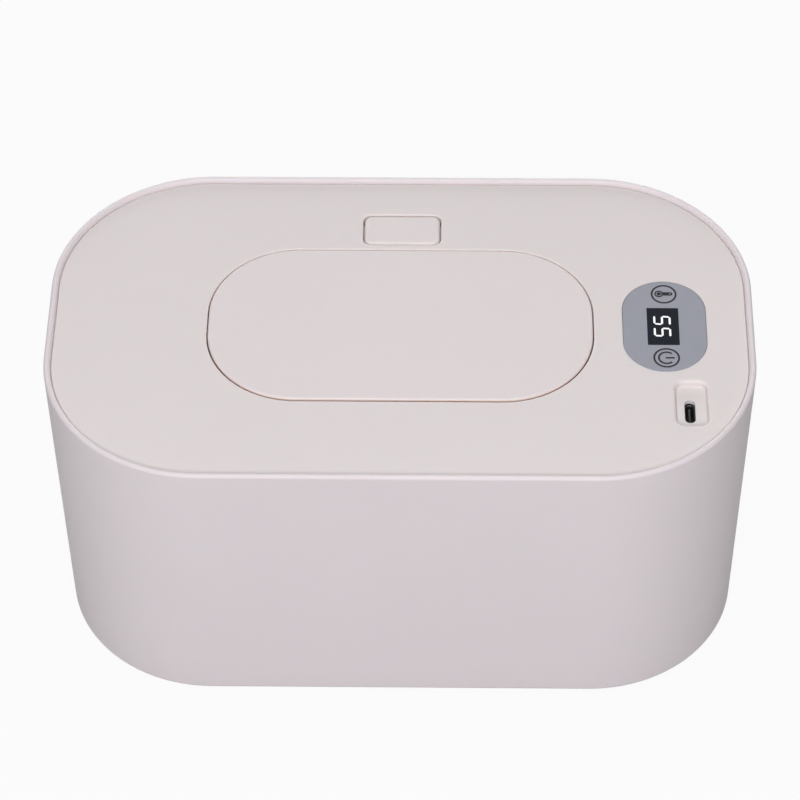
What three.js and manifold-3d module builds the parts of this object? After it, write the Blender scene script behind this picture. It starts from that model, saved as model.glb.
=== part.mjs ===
// Baby wipe warmer: a tub with an inner liner, a lift-off heated cover, a sprung
// lid over the dispensing opening, a release button, a control panel and a power inlet.
// Millimetres, +Z up, origin under the middle of the feet, front towards -Y.
import * as THREE from "three";
import { mergeVertices } from "three/addons/utils/BufferGeometryUtils.js";
import Module from "manifold-3d";

const wasm = await Module();
wasm.setup();

// Tub, seen from outside
const bodyLength = 220;
const bodyWidth = 131;
const bodyHeight = 104.8;
const bodyCornerRadius = 49.7;
const bodyDraft = 2.5;
const shellWall = 2.45;
const shellFloor = 2.5;
const rimRound = 1.05;
const baseRound = 2;
const coverDrop = 1.5;
const innerRound = 3;

// Gaps that the pieces keep
const seamGap = 0.3;
const seatGap = 0.3;
const pinGap = 0.1;
const filmGap = 0.15;
const overrun = 1;
const overlap = 0.4;

// Feet
const footRadius = 6;
const footHeight = 2;
const footStand = 1;
const footEdge = 0.5;
const footFromEnd = 36;
const footFromSide = 27.5;

// Ribs inside the tub, and the liner that hangs on them
const ribThickness = 1.8;
const ribReach = 4.6;
const ribCountLong = 4;
const ribFromCorner = 9.3;
const linerWall = 1.5;
const linerFloorGap = 2;
const linerFlange = 2;
const linerDraft = 2;
const linerRound = 6;

// Cover
const coverPlate = 2;
const coverEdgeRound = 0.5;
const skirtWall = 1.8;
const wellDepth = 12.5;
const wellWall = 1.8;
const wellFloor = 1.8;
const openingRound = 0.4;
const innerCoverPlate = 1.8;
const sealHeight = 2.4;
const sealWidth = 2;
const sealEdge = 0.5;

// Lid and its opening in the cover
const lidFromEnd = 50;
const lidFromFront = 33.6;
const lidEndFlat = 8.6;
const lidThickness = 1.8;
const lidEdgeRound = 0.6;
const lidUndercut = 0.75;
const lidSideGap = 0.35;
const lidFrontGap = 0.8;
const lidBackGap = 0.3;

// Dispensing opening, the lip round it, and the ring on the lid that closes on it
const throatInset = 5;
const throatAhead = 0.3;
const lipEndInset = 14.85;
const lipSideInset = 10.5;
const lipWall = 2;
const lipHeight = 2.6;
const gasketHeight = 2.2;
const gasketWidth = 2.6;
const gasketEdge = 0.65;
const lidRibThickness = 1.2;
const lidRibDepth = 2.5;
const lidRibSpacing = 24;

// Hinge hidden under the cover in front of the lid
const hingeBelowTop = 4.7;
const hingeAhead = 5.5;
const pinRadius = 1;
const pinOverhang = 0.6;
const armX = 18.4;
const armThickness = 2;
const armGap = 0.5;
const armEyeRadius = 2.2;
const armDepth = 7;
const armBase = 1.5;
const armStem = 2.3;
const armClear = 7.1;
const armWaist = 0.45;
const earThickness = 2;
const earRadius = 2.6;

// Release button, the bolt that it drives, and their bracket
const buttonLength = 24.2;
const buttonWidth = 13;
const buttonRadius = 2.6;
const buttonFromBack = 23.15;
const buttonWeb = 2.15;
const buttonSideGap = 0.4;
const buttonEndGap = 0.3;
const buttonEdgeRound = 1.2;
const buttonCap = 2;
const buttonWall = 1.5;
const buttonDepth = 4.7;
const buttonTravel = 2;
const buttonFlange = 1.4;
const buttonFlangeHeight = 1.5;
const pocketWall = 1.5;
const pocketGap = 0.6;
const boltTopBelow = 7.1;
const boltThickness = 3;
const boltHalfWidth = 3.4;
const boltNose = 1.8;
const boltNoseRise = 1;
const boltPastButton = 7.25;
const boltWindowHalfWidth = 2;
const wedgeHalfWidth = 1.6;
const wedgeTip = 2.4;
const wedgeAhead = 3.45;
const wedgeClear = 0.4;
const catchHalfWidth = 3;
const catchThickness = 2;
const catchLip = 0.5;
const catchRunning = 0.6;
const bracketPlate = 1.6;
const bracketWing = 7.1;
const bracketStop = 1.6;
const springPeg = 1.5;
const springPegRadius = 1.3;
const buttonSpringInset = 4.3;

// Springs
const buttonSpringWire = 0.5;
const buttonSpringRadius = 2.2;
const buttonSpringTurns = 5;
const latchSpringWire = 0.4;
const latchSpringRadius = 1.25;
const latchSpringTurns = 7;
const latchSpringLength = 7.5;
const lidSpringWire = 0.7;
const lidSpringRadius = 1.75;
const lidSpringTurns = 7;
const lidSpringLength = 9;
const lidSpringLeg = 7;
const lidSpringDrop = 3.6;
const touchSpringWire = 0.5;
const touchSpringRadius = 3;
const touchSpringTurns = 4;

// Control panel on the right of the cover
const filmLength = 39.2;
const filmWidth = 26.2;
const filmRadius = 12.9;
const filmThickness = 0.4;
const filmBelowTop = 0.1;
const panelFromEnd = 27.7;
const displayLength = 16;
const displayWidth = 9.9;
const displayShift = 0.45;
const touchShift = 0.2;
const touchSpacing = 27.6;

// Power inlet in front of the panel
const portFromEnd = 20.6;
const portAheadOfPanel = 4.15;
const portLength = 17.9;
const portWidth = 9.8;
const portRadius = 2.6;
const portDepth = 2.1;
const portFloor = 1.6;
const portEdgeRound = 0.7;
const portFillet = 0.8;
const slotLength = 9.7;
const slotWidth = 3.5;
const slotShiftX = 0.4;
const slotShiftY = 1.65;
const socketLength = 8.94;
const socketWidth = 3.26;
const socketHeight = 6.5;
const socketWall = 0.3;
const socketDepth = 5;
const tongueLength = 6.7;
const tongueThickness = 0.7;
const tongueHeight = 4.4;

// Board under the panel
const boardThickness = 1.2;
const boardPastPanel = 12.8;
const boardFromEnd = 16.5;
const boardPastFilm = 1.4;
const boardPastPort = 8;
const boardCorner = 6;
const chipHeight = 1;
const chipSize = 7;
const chipFromLeft = 5.5;
const chipFromFront = 18.5;
const boardHoleInset = 3.2;

// Heater under the inner cover
const heaterFromEnd = 35;
const heaterFromSide = 20.5;
const heaterRadius = 30;
const heaterPlate = 1;
const heaterFilm = 0.4;
const heaterFilmInset = 3;
const collarWall = 1.5;
const collarDepth = 1.6;
const collarGap = 0.5;
const windowFromEnd = 6.5;
const windowY = 2;
const windowLength = 8.4;
const windowWidth = 24;
const fuseRadius = 1.6;
const fuseLength = 8;
const fuseFromEnd = 8.6;
const fuseY = -3;
const thermistorRadius = 1.2;
const thermistorLength = 3;
const thermistorY = 9;
const leadRadius = 0.5;
const leadFromEnd = 4.7;
const leadReach = 1.2;
const leadSpacing = 4;
const leadY = -5;

// Screws
const screwHeadRadius = 2.6;
const screwHead = 1.6;
const smallScrewHead = 1.2;
const screwRadius = 1.2;
const screwLength = 9;
const screwGap = 0.3;
const bossRadius = 3.3;
const coverScrewFromEnd = 55;
const coverScrewFromSide = 12.5;
const coverScrewEndInset = 11.7;
const plateScrewFromEnd = 15;
const plateScrewFromSide = 11;
const plateScrewLength = 6.5;
const plateBoss = 3.6;
const bracketScrewInset = 3.2;
const bracketScrewFromBack = 5;
const smallScrewLength = 6;

// How finely the round forms are stepped
const wideSteps = 12;
const cornerSteps = 7;
const fineSteps = 4;
const roundSteps = 3;
const edgeSteps = 2;
const circleSteps = 16;
const screwSteps = 8;
const coilSteps = 8;
const coilSides = 5;
const leadSides = 8;
const quarterTurn = Math.PI / 2;
const fullTurn = Math.PI * 2;
const leastRadiusShare = 0.01;
const mergeShare = 0.0003;
const waistTurnShare = 0.45;

// Levels, from the floor up
const rimTop = footStand + bodyHeight;
const coverTop = rimTop - coverDrop;
const coverUnder = coverTop - coverPlate;
const wellFloorTop = coverTop - wellDepth;
const wellFloorUnder = wellFloorTop - wellFloor;
const innerCoverTop = wellFloorUnder - seatGap;
const innerCoverUnder = innerCoverTop - innerCoverPlate;
const flangeTop = innerCoverUnder - sealHeight - seatGap * 2;
const flangeUnder = flangeTop - linerFlange;
const ribTop = flangeUnder - seatGap;
const shellFloorTop = footStand + shellFloor;
const linerBase = shellFloorTop + linerFloorGap;
const filmUnder = innerCoverUnder - seatGap - heaterFilm;
const heaterTop = filmUnder - seatGap;
const heaterUnder = heaterTop - heaterPlate;
const portFloorTop = coverTop - portDepth;
const socketTop = portFloorTop - portFloor - seatGap;
const boardTop = socketTop - socketHeight - seatGap;
const boardUnder = boardTop - boardThickness;
const skirtBase = flangeTop + seatGap;
const leanAt = (z) => (bodyDraft * (rimTop - z)) / bodyHeight;

// Places of the feet, the ribs and the cover's screws, taken from the tub's sides
const bodyEnd = bodyLength / 2;
const bodySide = bodyWidth / 2;
const footX = bodyEnd - footFromEnd;
const footY = bodySide - footFromSide;
const ribSpan = (bodyEnd - bodyCornerRadius - ribFromCorner) * 2;
const ribSpacing = ribSpan / (ribCountLong - 1);
const coverScrewX = bodyEnd - coverScrewFromEnd;
const coverScrewY = bodySide - coverScrewFromSide;
const coverScrewEnd = bodyEnd - coverScrewEndInset;

// Button, its bolt and bracket, from the back of the tub forward
const buttonY = bodySide - buttonFromBack;
const pocketHalfLength = buttonLength / 2 + buttonFlange + pocketGap;
const pocketFront = buttonY - buttonWidth / 2 - buttonEndGap;
const pocketBack = buttonY + buttonWidth / 2 + buttonEndGap;
const wedgeFront = buttonY - wedgeAhead;
const boltRear = buttonY + boltPastButton;
const bracketBack = boltRear + seatGap + latchSpringLength + seatGap + bracketStop;
const bracketHalfWidth = pocketHalfLength + bracketWing;
const bracketScrewX = bracketHalfWidth - bracketScrewInset;
const bracketScrewY = bracketBack - bracketScrewFromBack;
const buttonSpringX = buttonLength / 2 - buttonSpringInset;

// Lid between the button and the front, and the dispensing opening under it
const lidBack = pocketFront - buttonWeb - lidBackGap;
const lidFront = lidFromFront - bodySide;
const lidWidth = lidBack - lidFront;
const lidShift = (lidBack + lidFront) / 2;
const lidLength = (bodyEnd - lidFromEnd) * 2;
const lidRadius = (lidWidth - lidEndFlat) / 2;
const lipLength = lidLength - lipEndInset * 2;
const lipWidth = lidWidth - lipSideInset * 2;
const throatLength = lipLength - throatInset * 2;
const throatWidth = lipWidth - throatInset * 2;
const throatY = lidShift - throatAhead;

// Heater, with its screws and sensors, and the panel with the inlet and the board
const heaterEnd = bodyEnd - heaterFromEnd;
const heaterSide = bodySide - heaterFromSide;
const plateScrewX = heaterEnd - plateScrewFromEnd;
const plateScrewY = heaterSide - plateScrewFromSide;
const windowX = heaterEnd - windowFromEnd;
const fuseX = heaterEnd - fuseFromEnd;
const leadX = heaterEnd - leadFromEnd;
const panelX = bodyEnd - panelFromEnd;
const touchX = panelX + touchShift;
const portX = bodyEnd - portFromEnd;
const portY = -filmLength / 2 - portAheadOfPanel - portLength / 2;
const slotX = portX - slotShiftX;
const slotY = portY - slotShiftY;
const boardLeft = panelX - boardPastPanel;
const boardRight = bodyEnd - boardFromEnd;
const boardBack = filmLength / 2 + boardPastFilm;
const boardFront = boardPastPort - portY;
const chipX = boardLeft + chipFromLeft;
const chipY = chipFromFront - boardFront;

// Where the cover and the lid meet their neighbours
const coverInset = shellWall + seamGap;
const skirtInset = coverInset + skirtWall;
const lidUnder = coverTop - lidThickness;
const openingLength = lidLength + lidSideGap * 2;
const openingWidth = lidWidth + lidFrontGap + lidBackGap;
const openingRadius = lidRadius + lidSideGap;
const openingShift = lidShift + (lidBackGap - lidFrontGap) / 2;
const hingeY = lidFront - hingeAhead;
const hingeZ = coverTop - hingeBelowTop;
const earX = armX + armThickness / 2 + armGap;
const pinHalfLength = earX + earThickness + pinOverhang;
const boltTop = coverTop - boltTopBelow;
const boltUnder = boltTop - boltThickness;
const bracketTop = boltUnder - seatGap;
const boltTip = lidBack + lidBackGap - boltNose;
const wedgeLow = boltUnder + wedgeClear;
const wedgeRise = boltThickness + wedgeClear;
const gasketTop = wellFloorTop + lipHeight + seatGap + gasketHeight;
const plateScrewSeat = heaterUnder - seatGap;
const plateScrewTip = plateScrewSeat + plateScrewLength;

// Outline of a rounded rectangle, pulled in by inset, as points in turn
function roundedOutline(length, width, radius, steps, inset = 0, x = 0, y = 0) {
  const r = Math.max(radius - inset, radius * leastRadiusShare);
  const halfLength = length / 2 - inset - r;
  const halfWidth = width / 2 - inset - r;
  const corners = [[1, 1], [-1, 1], [-1, -1], [1, -1]];
  const points = [];
  corners.forEach(([sideX, sideY], corner) => {
    for (let step = 0; step <= steps; step += 1) {
      const angle = quarterTurn * (corner + step / steps);
      points.push([
        x + sideX * halfLength + r * Math.cos(angle),
        y + sideY * halfWidth + r * Math.sin(angle),
      ]);
    }
  });
  return points;
}

// Joins vertices, drops what the solids don't need and turns the faces outward
function finish(geometry) {
  geometry.deleteAttribute("normal");
  geometry.deleteAttribute("uv");
  const merged = mergeVertices(geometry, seatGap * mergeShare);
  const position = merged.getAttribute("position");
  const index = merged.getIndex().array;
  const corner = [new THREE.Vector3(), new THREE.Vector3(), new THREE.Vector3()];
  let volume = 0;
  const kept = [];
  for (let i = 0; i < index.length; i += 3) {
    const [a, b, c] = [index[i], index[i + 1], index[i + 2]];
    if (a === b || b === c || c === a) continue;
    kept.push(a, b, c);
    corner.forEach((point, k) => point.fromBufferAttribute(position, index[i + k]));
    volume += corner[0].dot(corner[1].clone().cross(corner[2]));
  }
  if (volume < 0) kept.reverse();
  merged.setIndex(kept);
  return merged;
}

// Skin through rings of equal point counts, with the first and last ring filled in
function loft(rings, closed = false) {
  const count = rings[0].length;
  const vertices = rings.flat(2);
  const faces = [];
  const bands = closed ? rings.length : rings.length - 1;
  for (let ring = 0; ring < bands; ring += 1) {
    const next = (ring + 1) % rings.length;
    for (let k = 0; k < count; k += 1) {
      const after = (k + 1) % count;
      const [a, b] = [ring * count + k, ring * count + after];
      const [c, d] = [next * count + after, next * count + k];
      faces.push(a, b, c, a, c, d);
    }
  }
  if (!closed) {
    [0, rings.length - 1].forEach((ring) => {
      const middle = vertices.length / 3;
      const sum = rings[ring].reduce((total, p) => total.map((v, k) => v + p[k]), [0, 0, 0]);
      vertices.push(...sum.map((v) => v / count));
      for (let k = 0; k < count; k += 1) {
        const [a, b] = [ring * count + k, ring * count + ((k + 1) % count)];
        faces.push(...(ring === 0 ? [middle, b, a] : [middle, a, b]));
      }
    });
  }
  const geometry = new THREE.BufferGeometry();
  geometry.setAttribute("position", new THREE.Float32BufferAttribute(vertices, 3));
  geometry.setIndex(faces);
  return finish(geometry);
}

// Loft of one outline over a profile of [inset, height] pairs
function shape(outline, profile, closed = false) {
  const rings = profile.map(([inset, z]) => outline(inset).map(([x, y]) => [x, y, z]));
  return loft(rings, closed);
}

// Quarter round as [inset, height] pairs, from one angle in quarter turns to another
function arc(inset, z, radius, from, to, steps = roundSteps) {
  const points = [];
  for (let step = 0; step <= steps; step += 1) {
    const angle = quarterTurn * (from + ((to - from) * step) / steps);
    points.push([inset - radius * Math.cos(angle), z + radius * Math.sin(angle)]);
  }
  return points;
}

function block(x0, x1, y0, y1, z0, z1) {
  const geometry = new THREE.BoxGeometry(x1 - x0, y1 - y0, z1 - z0);
  geometry.translate((x0 + x1) / 2, (y0 + y1) / 2, (z0 + z1) / 2);
  return finish(geometry);
}

// Upright turned piece from a profile of [radius, height] pairs
function turned(profile, x, y, steps = circleSteps) {
  const ring = ([radius, z]) => {
    const points = [];
    for (let k = 0; k < steps; k += 1) {
      const angle = (fullTurn * k) / steps;
      points.push([x + radius * Math.cos(angle), y + radius * Math.sin(angle), z]);
    }
    return points;
  };
  return loft(profile.map(ring));
}

const post = (x, y, radius, z0, z1, steps = screwSteps) =>
  turned([[radius, z0], [radius, z1]], x, y, steps);

// Flat outline in Y and Z, carried along X
function alongX(points, x0, x1) {
  const outline = new THREE.Shape(points.map(([y, z]) => new THREE.Vector2(y, z)));
  const geometry = new THREE.ExtrudeGeometry(outline, { depth: x1 - x0, bevelEnabled: false });
  const [alongY, alongZ, along] = [
    new THREE.Vector3(0, 1, 0), new THREE.Vector3(0, 0, 1), new THREE.Vector3(1, 0, 0),
  ];
  geometry.applyMatrix4(new THREE.Matrix4().makeBasis(alongY, alongZ, along));
  geometry.translate(x0, 0, 0);
  return finish(geometry);
}

// Round bar along X
function barX(y, z, radius, x0, x1, steps = circleSteps) {
  const points = [];
  for (let k = 0; k < steps; k += 1) {
    const angle = (fullTurn * k) / steps;
    points.push([y + radius * Math.cos(angle), z + radius * Math.sin(angle)]);
  }
  return alongX(points, x0, x1);
}

// Round tube along a list of points, carried without twisting
function tube(points, radius, sides) {
  const path = points.map((p) => new THREE.Vector3(...p));
  const direction = (k) => {
    const before = path[Math.max(k - 1, 0)];
    const after = path[Math.min(k + 1, path.length - 1)];
    return after.clone().sub(before).normalize();
  };
  const first = direction(0);
  const side = Math.abs(first.z) < Math.SQRT1_2 ? new THREE.Vector3(0, 0, 1) : new THREE.Vector3(1, 0, 0);
  const rings = path.map((point, k) => {
    const ahead = direction(k);
    side.addScaledVector(ahead, -side.dot(ahead)).normalize();
    const across = ahead.clone().cross(side);
    const ring = [];
    for (let s = 0; s < sides; s += 1) {
      const angle = (fullTurn * s) / sides;
      const spot = point.clone();
      spot.addScaledVector(side, radius * Math.cos(angle));
      spot.addScaledVector(across, radius * Math.sin(angle));
      ring.push(spot.toArray());
    }
    return ring;
  });
  return loft(rings);
}

// Coil about an upright axis from z0 to z1, with its ends run straight along the turn
function coilPoints(radius, turns, z0, z1, wire) {
  const points = [];
  const steps = turns * coilSteps;
  const rise = z1 - z0 - wire;
  for (let step = 0; step <= steps; step += 1) {
    const angle = (fullTurn * step) / coilSteps;
    const z = z0 + wire / 2 + (rise * step) / steps;
    points.push([radius * Math.cos(angle), radius * Math.sin(angle), z]);
  }
  const [first, last] = [points[0], points[points.length - 1]];
  points.unshift([first[0], first[1] - wire, first[2]]);
  points.push([last[0], last[1] + wire, last[2]]);
  return points;
}

// Least clear distance between a coil's neighbouring turns
function selfGap(points, wire) {
  const nearTurn = coilSteps / 2;
  const path = points.map((point) => new THREE.Vector3(...point));
  let least = Infinity;
  path.forEach((a, i) => {
    path.slice(i + nearTurn).forEach((b) => {
      least = Math.min(least, a.distanceTo(b));
    });
  });
  return least - wire;
}

function toManifold(geometry) {
  const mesh = new wasm.Mesh({
    numProp: 3,
    vertProperties: new Float32Array(geometry.getAttribute("position").array),
    triVerts: new Uint32Array(geometry.getIndex().array),
  });
  return new wasm.Manifold(mesh);
}

// Adds solids together, then takes others away
function combine(added, taken = []) {
  let solid = toManifold(added[0]);
  added.slice(1).forEach((geometry) => {
    solid = solid.add(toManifold(geometry));
  });
  taken.forEach((geometry) => {
    solid = solid.subtract(toManifold(geometry));
  });
  const mesh = solid.getMesh();
  const geometry = new THREE.BufferGeometry();
  geometry.setAttribute("position", new THREE.Float32BufferAttribute(mesh.vertProperties, 3));
  geometry.setIndex(Array.from(mesh.triVerts));
  return geometry;
}

const bodyOutline = (inset) =>
  roundedOutline(bodyLength, bodyWidth, bodyCornerRadius, wideSteps, inset);
const lidOutline = (inset) =>
  roundedOutline(lidLength, lidWidth, lidRadius, wideSteps, inset, 0, lidShift);
const openingOutline = (inset) =>
  roundedOutline(openingLength, openingWidth, openingRadius, wideSteps, inset, 0, openingShift);
const throatOutline = (inset) =>
  roundedOutline(throatLength, throatWidth, throatWidth / 2, cornerSteps, inset, 0, throatY);
const lipOutline = (inset) =>
  roundedOutline(lipLength, lipWidth, lipWidth / 2, cornerSteps, inset, 0, throatY);
const buttonOutline = (inset) =>
  roundedOutline(buttonLength, buttonWidth, buttonRadius, fineSteps, inset, 0, buttonY);
const filmOutline = (inset) =>
  roundedOutline(filmWidth, filmLength, filmRadius, cornerSteps, inset, panelX);
const portOutline = (inset) =>
  roundedOutline(portWidth, portLength, portRadius, fineSteps, inset, portX, portY);
const slotOutline = (inset) =>
  roundedOutline(slotWidth, slotLength, slotWidth / 2, fineSteps, inset, slotX, slotY);
const heaterOutline = (inset) =>
  roundedOutline(heaterEnd * 2, heaterSide * 2, heaterRadius, cornerSteps, inset);

// Prism of an outline between two heights
const slab = (outline, inset, z0, z1) => shape(outline, [[inset, z0], [inset, z1]]);

// Cutter for an opening whose top edge is rounded over
function roundedOpening(outline, radius, z0, top) {
  const edge = arc(-radius, top - radius, radius, 2, 1, edgeSteps);
  return shape(outline, [[0, z0], ...edge, [-radius, top + overrun]]);
}

// Upright rib from a side wall, leaning with it, placed by a map from across and outward
function makeRib(sideDistance, place) {
  const inner = sideDistance - shellWall - ribReach;
  const ring = (z) => {
    const outer = sideDistance - shellWall - leanAt(z) + overlap;
    const half = ribThickness / 2;
    return [[-half, inner], [half, inner], [half, outer], [-half, outer]].map(([across, out]) =>
      [...place(across, out), z]);
  };
  return loft([ring(shellFloorTop - overlap), ring(ribTop)]);
}

// Tub with a rounded base, leaning walls, a bevelled rim and ribs for the liner
function makeShell() {
  const profile = [
    ...arc(bodyDraft + baseRound, footStand + baseRound, baseRound, -1, 0),
    ...arc(rimRound, rimTop - rimRound, rimRound, 0, 1),
    [shellWall, coverTop],
    [shellWall + leanAt(shellFloorTop + innerRound), shellFloorTop + innerRound],
    ...arc(shellWall + bodyDraft + innerRound, shellFloorTop + innerRound, innerRound, 0, -1).slice(1),
  ];
  const ribs = [];
  [-1, 1].forEach((side) => {
    for (let k = 0; k < ribCountLong; k += 1) {
      const x = ribSpacing * (k - (ribCountLong - 1) / 2);
      ribs.push(makeRib(bodyWidth / 2, (across, out) => [x + across, side * out]));
    }
    ribs.push(makeRib(bodyLength / 2, (across, out) => [side * out, across]));
  });
  const recessTop = footHeight + seatGap;
  const recesses = footPlaces().map(([x, y]) =>
    post(x, y, footRadius + seatGap, footStand - overrun, recessTop, circleSteps));
  return combine([shape(bodyOutline, profile), ...ribs], recesses);
}

function footPlaces() {
  return [[-1, -1], [1, -1], [1, 1], [-1, 1]].map(([x, y]) => [x * footX, y * footY]);
}

function makeFoot([x, y]) {
  const profile = [[footRadius - footEdge, 0], [footRadius, footEdge], [footRadius, footHeight]];
  return turned(profile, x, y);
}

// Tub that holds the wipes, hung by its flange
function makeLiner() {
  const top = shellWall + ribReach + seatGap;
  const base = top + linerDraft;
  const outer = shellWall + leanAt(flangeUnder) + seamGap;
  const floorTop = linerBase + linerWall;
  const profile = [
    ...arc(base + linerRound, linerBase + linerRound, linerRound, -1, 0),
    [top, flangeUnder],
    [outer, flangeUnder],
    [outer, flangeTop],
    [top + linerWall, flangeTop],
    ...arc(base + linerRound, floorTop + linerRound - linerWall, linerRound - linerWall, 0, -1),
  ];
  return shape(bodyOutline, profile);
}

// Places of the screws that close the cover from below
function coverScrewPlaces() {
  const places = [];
  [-1, 1].forEach((side) => {
    places.push([side * coverScrewX, -coverScrewY], [side * coverScrewX, coverScrewY]);
    places.push([side * coverScrewEnd, 0]);
  });
  return places;
}

function boardScrewPlaces() {
  const left = boardLeft + boardHoleInset;
  const right = boardRight - boardHoleInset;
  const back = boardBack - boardHoleInset;
  const front = boardHoleInset - boardFront;
  return [[left, back], [right, back], [left, front]];
}

function plateScrewPlaces() {
  return [[-1, -1], [1, -1], [1, 1], [-1, 1]].map(([x, y]) => [x * plateScrewX, y * plateScrewY]);
}

function bracketScrewPlaces() {
  return [[-bracketScrewX, bracketScrewY], [bracketScrewX, bracketScrewY]];
}

// Ear that carries the hinge pin, hung under the cover against the wall of the lid's well
function makeEar(x) {
  const wallFace = openingShift - openingWidth / 2 - overlap;
  const points = [[wallFace, coverUnder + overlap], [hingeY - earRadius, coverUnder + overlap]];
  for (let step = 0; step <= cornerSteps; step += 1) {
    const angle = quarterTurn * (2 + step / cornerSteps);
    points.push([hingeY + earRadius * Math.cos(angle), hingeZ + earRadius * Math.sin(angle)]);
  }
  points.push([wallFace, hingeZ - earRadius]);
  return alongX(points, x, x + earThickness);
}


// Solid cover before its small openings: plate and skirt with the lid's well let in
function makeCoverBlank() {
  const leanLow = leanAt(skirtBase);
  const plate = shape(bodyOutline, [
    [skirtInset, coverUnder],
    [skirtInset + leanLow, skirtBase],
    [coverInset + leanLow, skirtBase],
    ...arc(coverInset + coverEdgeRound, coverTop - coverEdgeRound, coverEdgeRound, 0, 1, edgeSteps),
  ]);
  const hangTop = coverUnder + overlap;
  const pocketHalf = pocketHalfLength + pocketWall;
  const port = shape(portOutline, [
    [portFillet - portFloor, portFloorTop - portFloor],
    [-portFloor, portFloorTop + portFillet - portFloor],
    [-portFloor, hangTop],
  ]);
  return combine([
    plate,
    slab(openingOutline, -wellWall, wellFloorUnder, hangTop),
    block(-pocketHalf, pocketHalf, pocketFront - wellWall, pocketBack + pocketWall, boltUnder, hangTop),
    port,
    ...[earX, -earX - earThickness].map(makeEar),
    ...coverScrewPlaces().map(([x, y]) => post(x, y, bossRadius, wellFloorUnder, hangTop)),
    ...boardScrewPlaces().map(([x, y]) => post(x, y, bossRadius, boardTop + seatGap, hangTop)),
    ...bracketScrewPlaces().map(([x, y]) => post(x, y, bossRadius, boltUnder, hangTop)),
  ], [roundedOpening(openingOutline, openingRound, wellFloorTop, coverTop)]);
}

// Button opening through the plate, and the wider pocket below it
function buttonCutters() {
  const outline = (inset) => roundedOutline(
    buttonLength + buttonSideGap * 2, buttonWidth + buttonEndGap * 2,
    buttonRadius + buttonEndGap, fineSteps, inset, 0, buttonY);
  const boltHalf = boltHalfWidth + seatGap;
  const slotBack = pocketBack + pocketWall + overrun;
  return [
    roundedOpening(outline, openingRound, coverUnder - overrun, coverTop),
    block(-pocketHalfLength, pocketHalfLength, pocketFront, pocketBack, boltUnder - overrun, coverUnder),
    block(-boltHalf, boltHalf, lidBack - overrun, slotBack, boltUnder - seatGap, boltTop + seatGap),
  ];
}

// Recess for the panel film, the window for the display, and the inlet's recess and slot
function panelCutters() {
  const filmDepth = filmBelowTop + filmThickness + seatGap;
  const displayX = panelX - displayShift;
  return [
    slab(filmOutline, 0, coverTop - filmDepth, coverTop + overrun),
    block(displayX - displayWidth / 2, displayX + displayWidth / 2,
      -displayLength / 2, displayLength / 2, coverUnder - overrun, coverTop),
    shape(portOutline, [
      ...arc(portFillet, portFloorTop + portFillet, portFillet, -1, 0, edgeSteps),
      ...arc(-portEdgeRound, coverTop - portEdgeRound, portEdgeRound, 2, 1),
      [-portEdgeRound, coverTop + overrun],
    ]),
    slab(slotOutline, 0, portFloorTop - portFloor - overrun, portFloorTop + overrun),
  ];
}

// Top cover with the well and dispensing lip, the button's pocket, the panel and the inlet
function makeCover() {
  const lip = slab(lipOutline, 0, wellFloorTop - overlap, wellFloorTop + lipHeight);
  const hole = screwRadius + screwGap;
  const slotHalf = armThickness / 2 + armGap;
  const wellFront = openingShift - openingWidth / 2;
  const slots = [-armX, armX].map((x) => block(x - slotHalf, x + slotHalf,
    wellFront - wellWall - overrun, wellFront + overrun, wellFloorTop, coverUnder));
  return combine([makeCoverBlank(), lip], [
    slab(lipOutline, lipWall, wellFloorTop, wellFloorTop + lipHeight + overrun),
    slab(throatOutline, 0, wellFloorUnder - overrun, wellFloorTop + overrun),
    ...buttonCutters(), ...panelCutters(), ...slots,
    barX(hingeY, hingeZ, pinRadius + pinGap, -pinHalfLength, pinHalfLength),
    ...coverScrewPlaces().map(([x, y]) => post(x, y, hole, innerCoverTop, innerCoverUnder + screwLength)),
    ...boardScrewPlaces().map(([x, y]) => post(x, y, hole, boardUnder, boardUnder + smallScrewLength)),
    ...bracketScrewPlaces().map(([x, y]) =>
      post(x, y, hole, bracketTop, bracketTop - bracketPlate + smallScrewLength)),
  ]);
}

// Inner cover that closes the cover from below, with a collar round the dispensing opening
function makeInnerCover() {
  const inset = skirtInset + leanAt(innerCoverUnder) + seatGap;
  const hole = screwRadius + screwGap;
  const bossTop = innerCoverTop + plateBoss;
  const low = innerCoverUnder - overrun;
  const halfX = windowLength / 2;
  const halfY = windowWidth / 2;
  return combine([
    slab(bodyOutline, inset, innerCoverUnder, innerCoverTop),
    slab(throatOutline, -collarWall, innerCoverUnder - collarDepth, innerCoverUnder + overlap),
    ...plateScrewPlaces().map(([x, y]) => post(x, y, bossRadius, innerCoverTop - overlap, bossTop)),
  ], [
    slab(throatOutline, 0, heaterUnder - overrun, innerCoverTop + overrun),
    block(windowX - halfX, windowX + halfX, windowY - halfY, windowY + halfY, low, innerCoverTop + overrun),
    ...coverScrewPlaces().map(([x, y]) => post(x, y, hole, low, innerCoverTop + overrun)),
    ...plateScrewPlaces().map(([x, y]) => post(x, y, hole, low, plateScrewTip + seatGap)),
  ]);
}

// Silicone ring between the inner cover and the liner's flange
function makeSeal() {
  const outer = skirtInset + leanAt(skirtBase) + seatGap;
  const [low, high] = [flangeTop + seatGap, innerCoverUnder - seatGap];
  const inner = outer + sealWidth;
  return shape(bodyOutline, [
    [outer, high], [outer, low + sealEdge], [outer + sealEdge, low],
    [inner - sealEdge, low], [inner, low + sealEdge], [inner, high],
  ], true);
}

// Flat heating piece with the dispensing opening and holes for its screws
function makeHeaterLayer(inset, hole, z0, z1) {
  return combine([slab(heaterOutline, inset, z0, z1)], [
    slab(throatOutline, -collarWall - collarGap - inset / 2, z0 - overrun, z1 + overrun),
    ...plateScrewPlaces().map(([x, y]) => post(x, y, hole, z0 - overrun, z1 + overrun)),
  ]);
}

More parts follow.
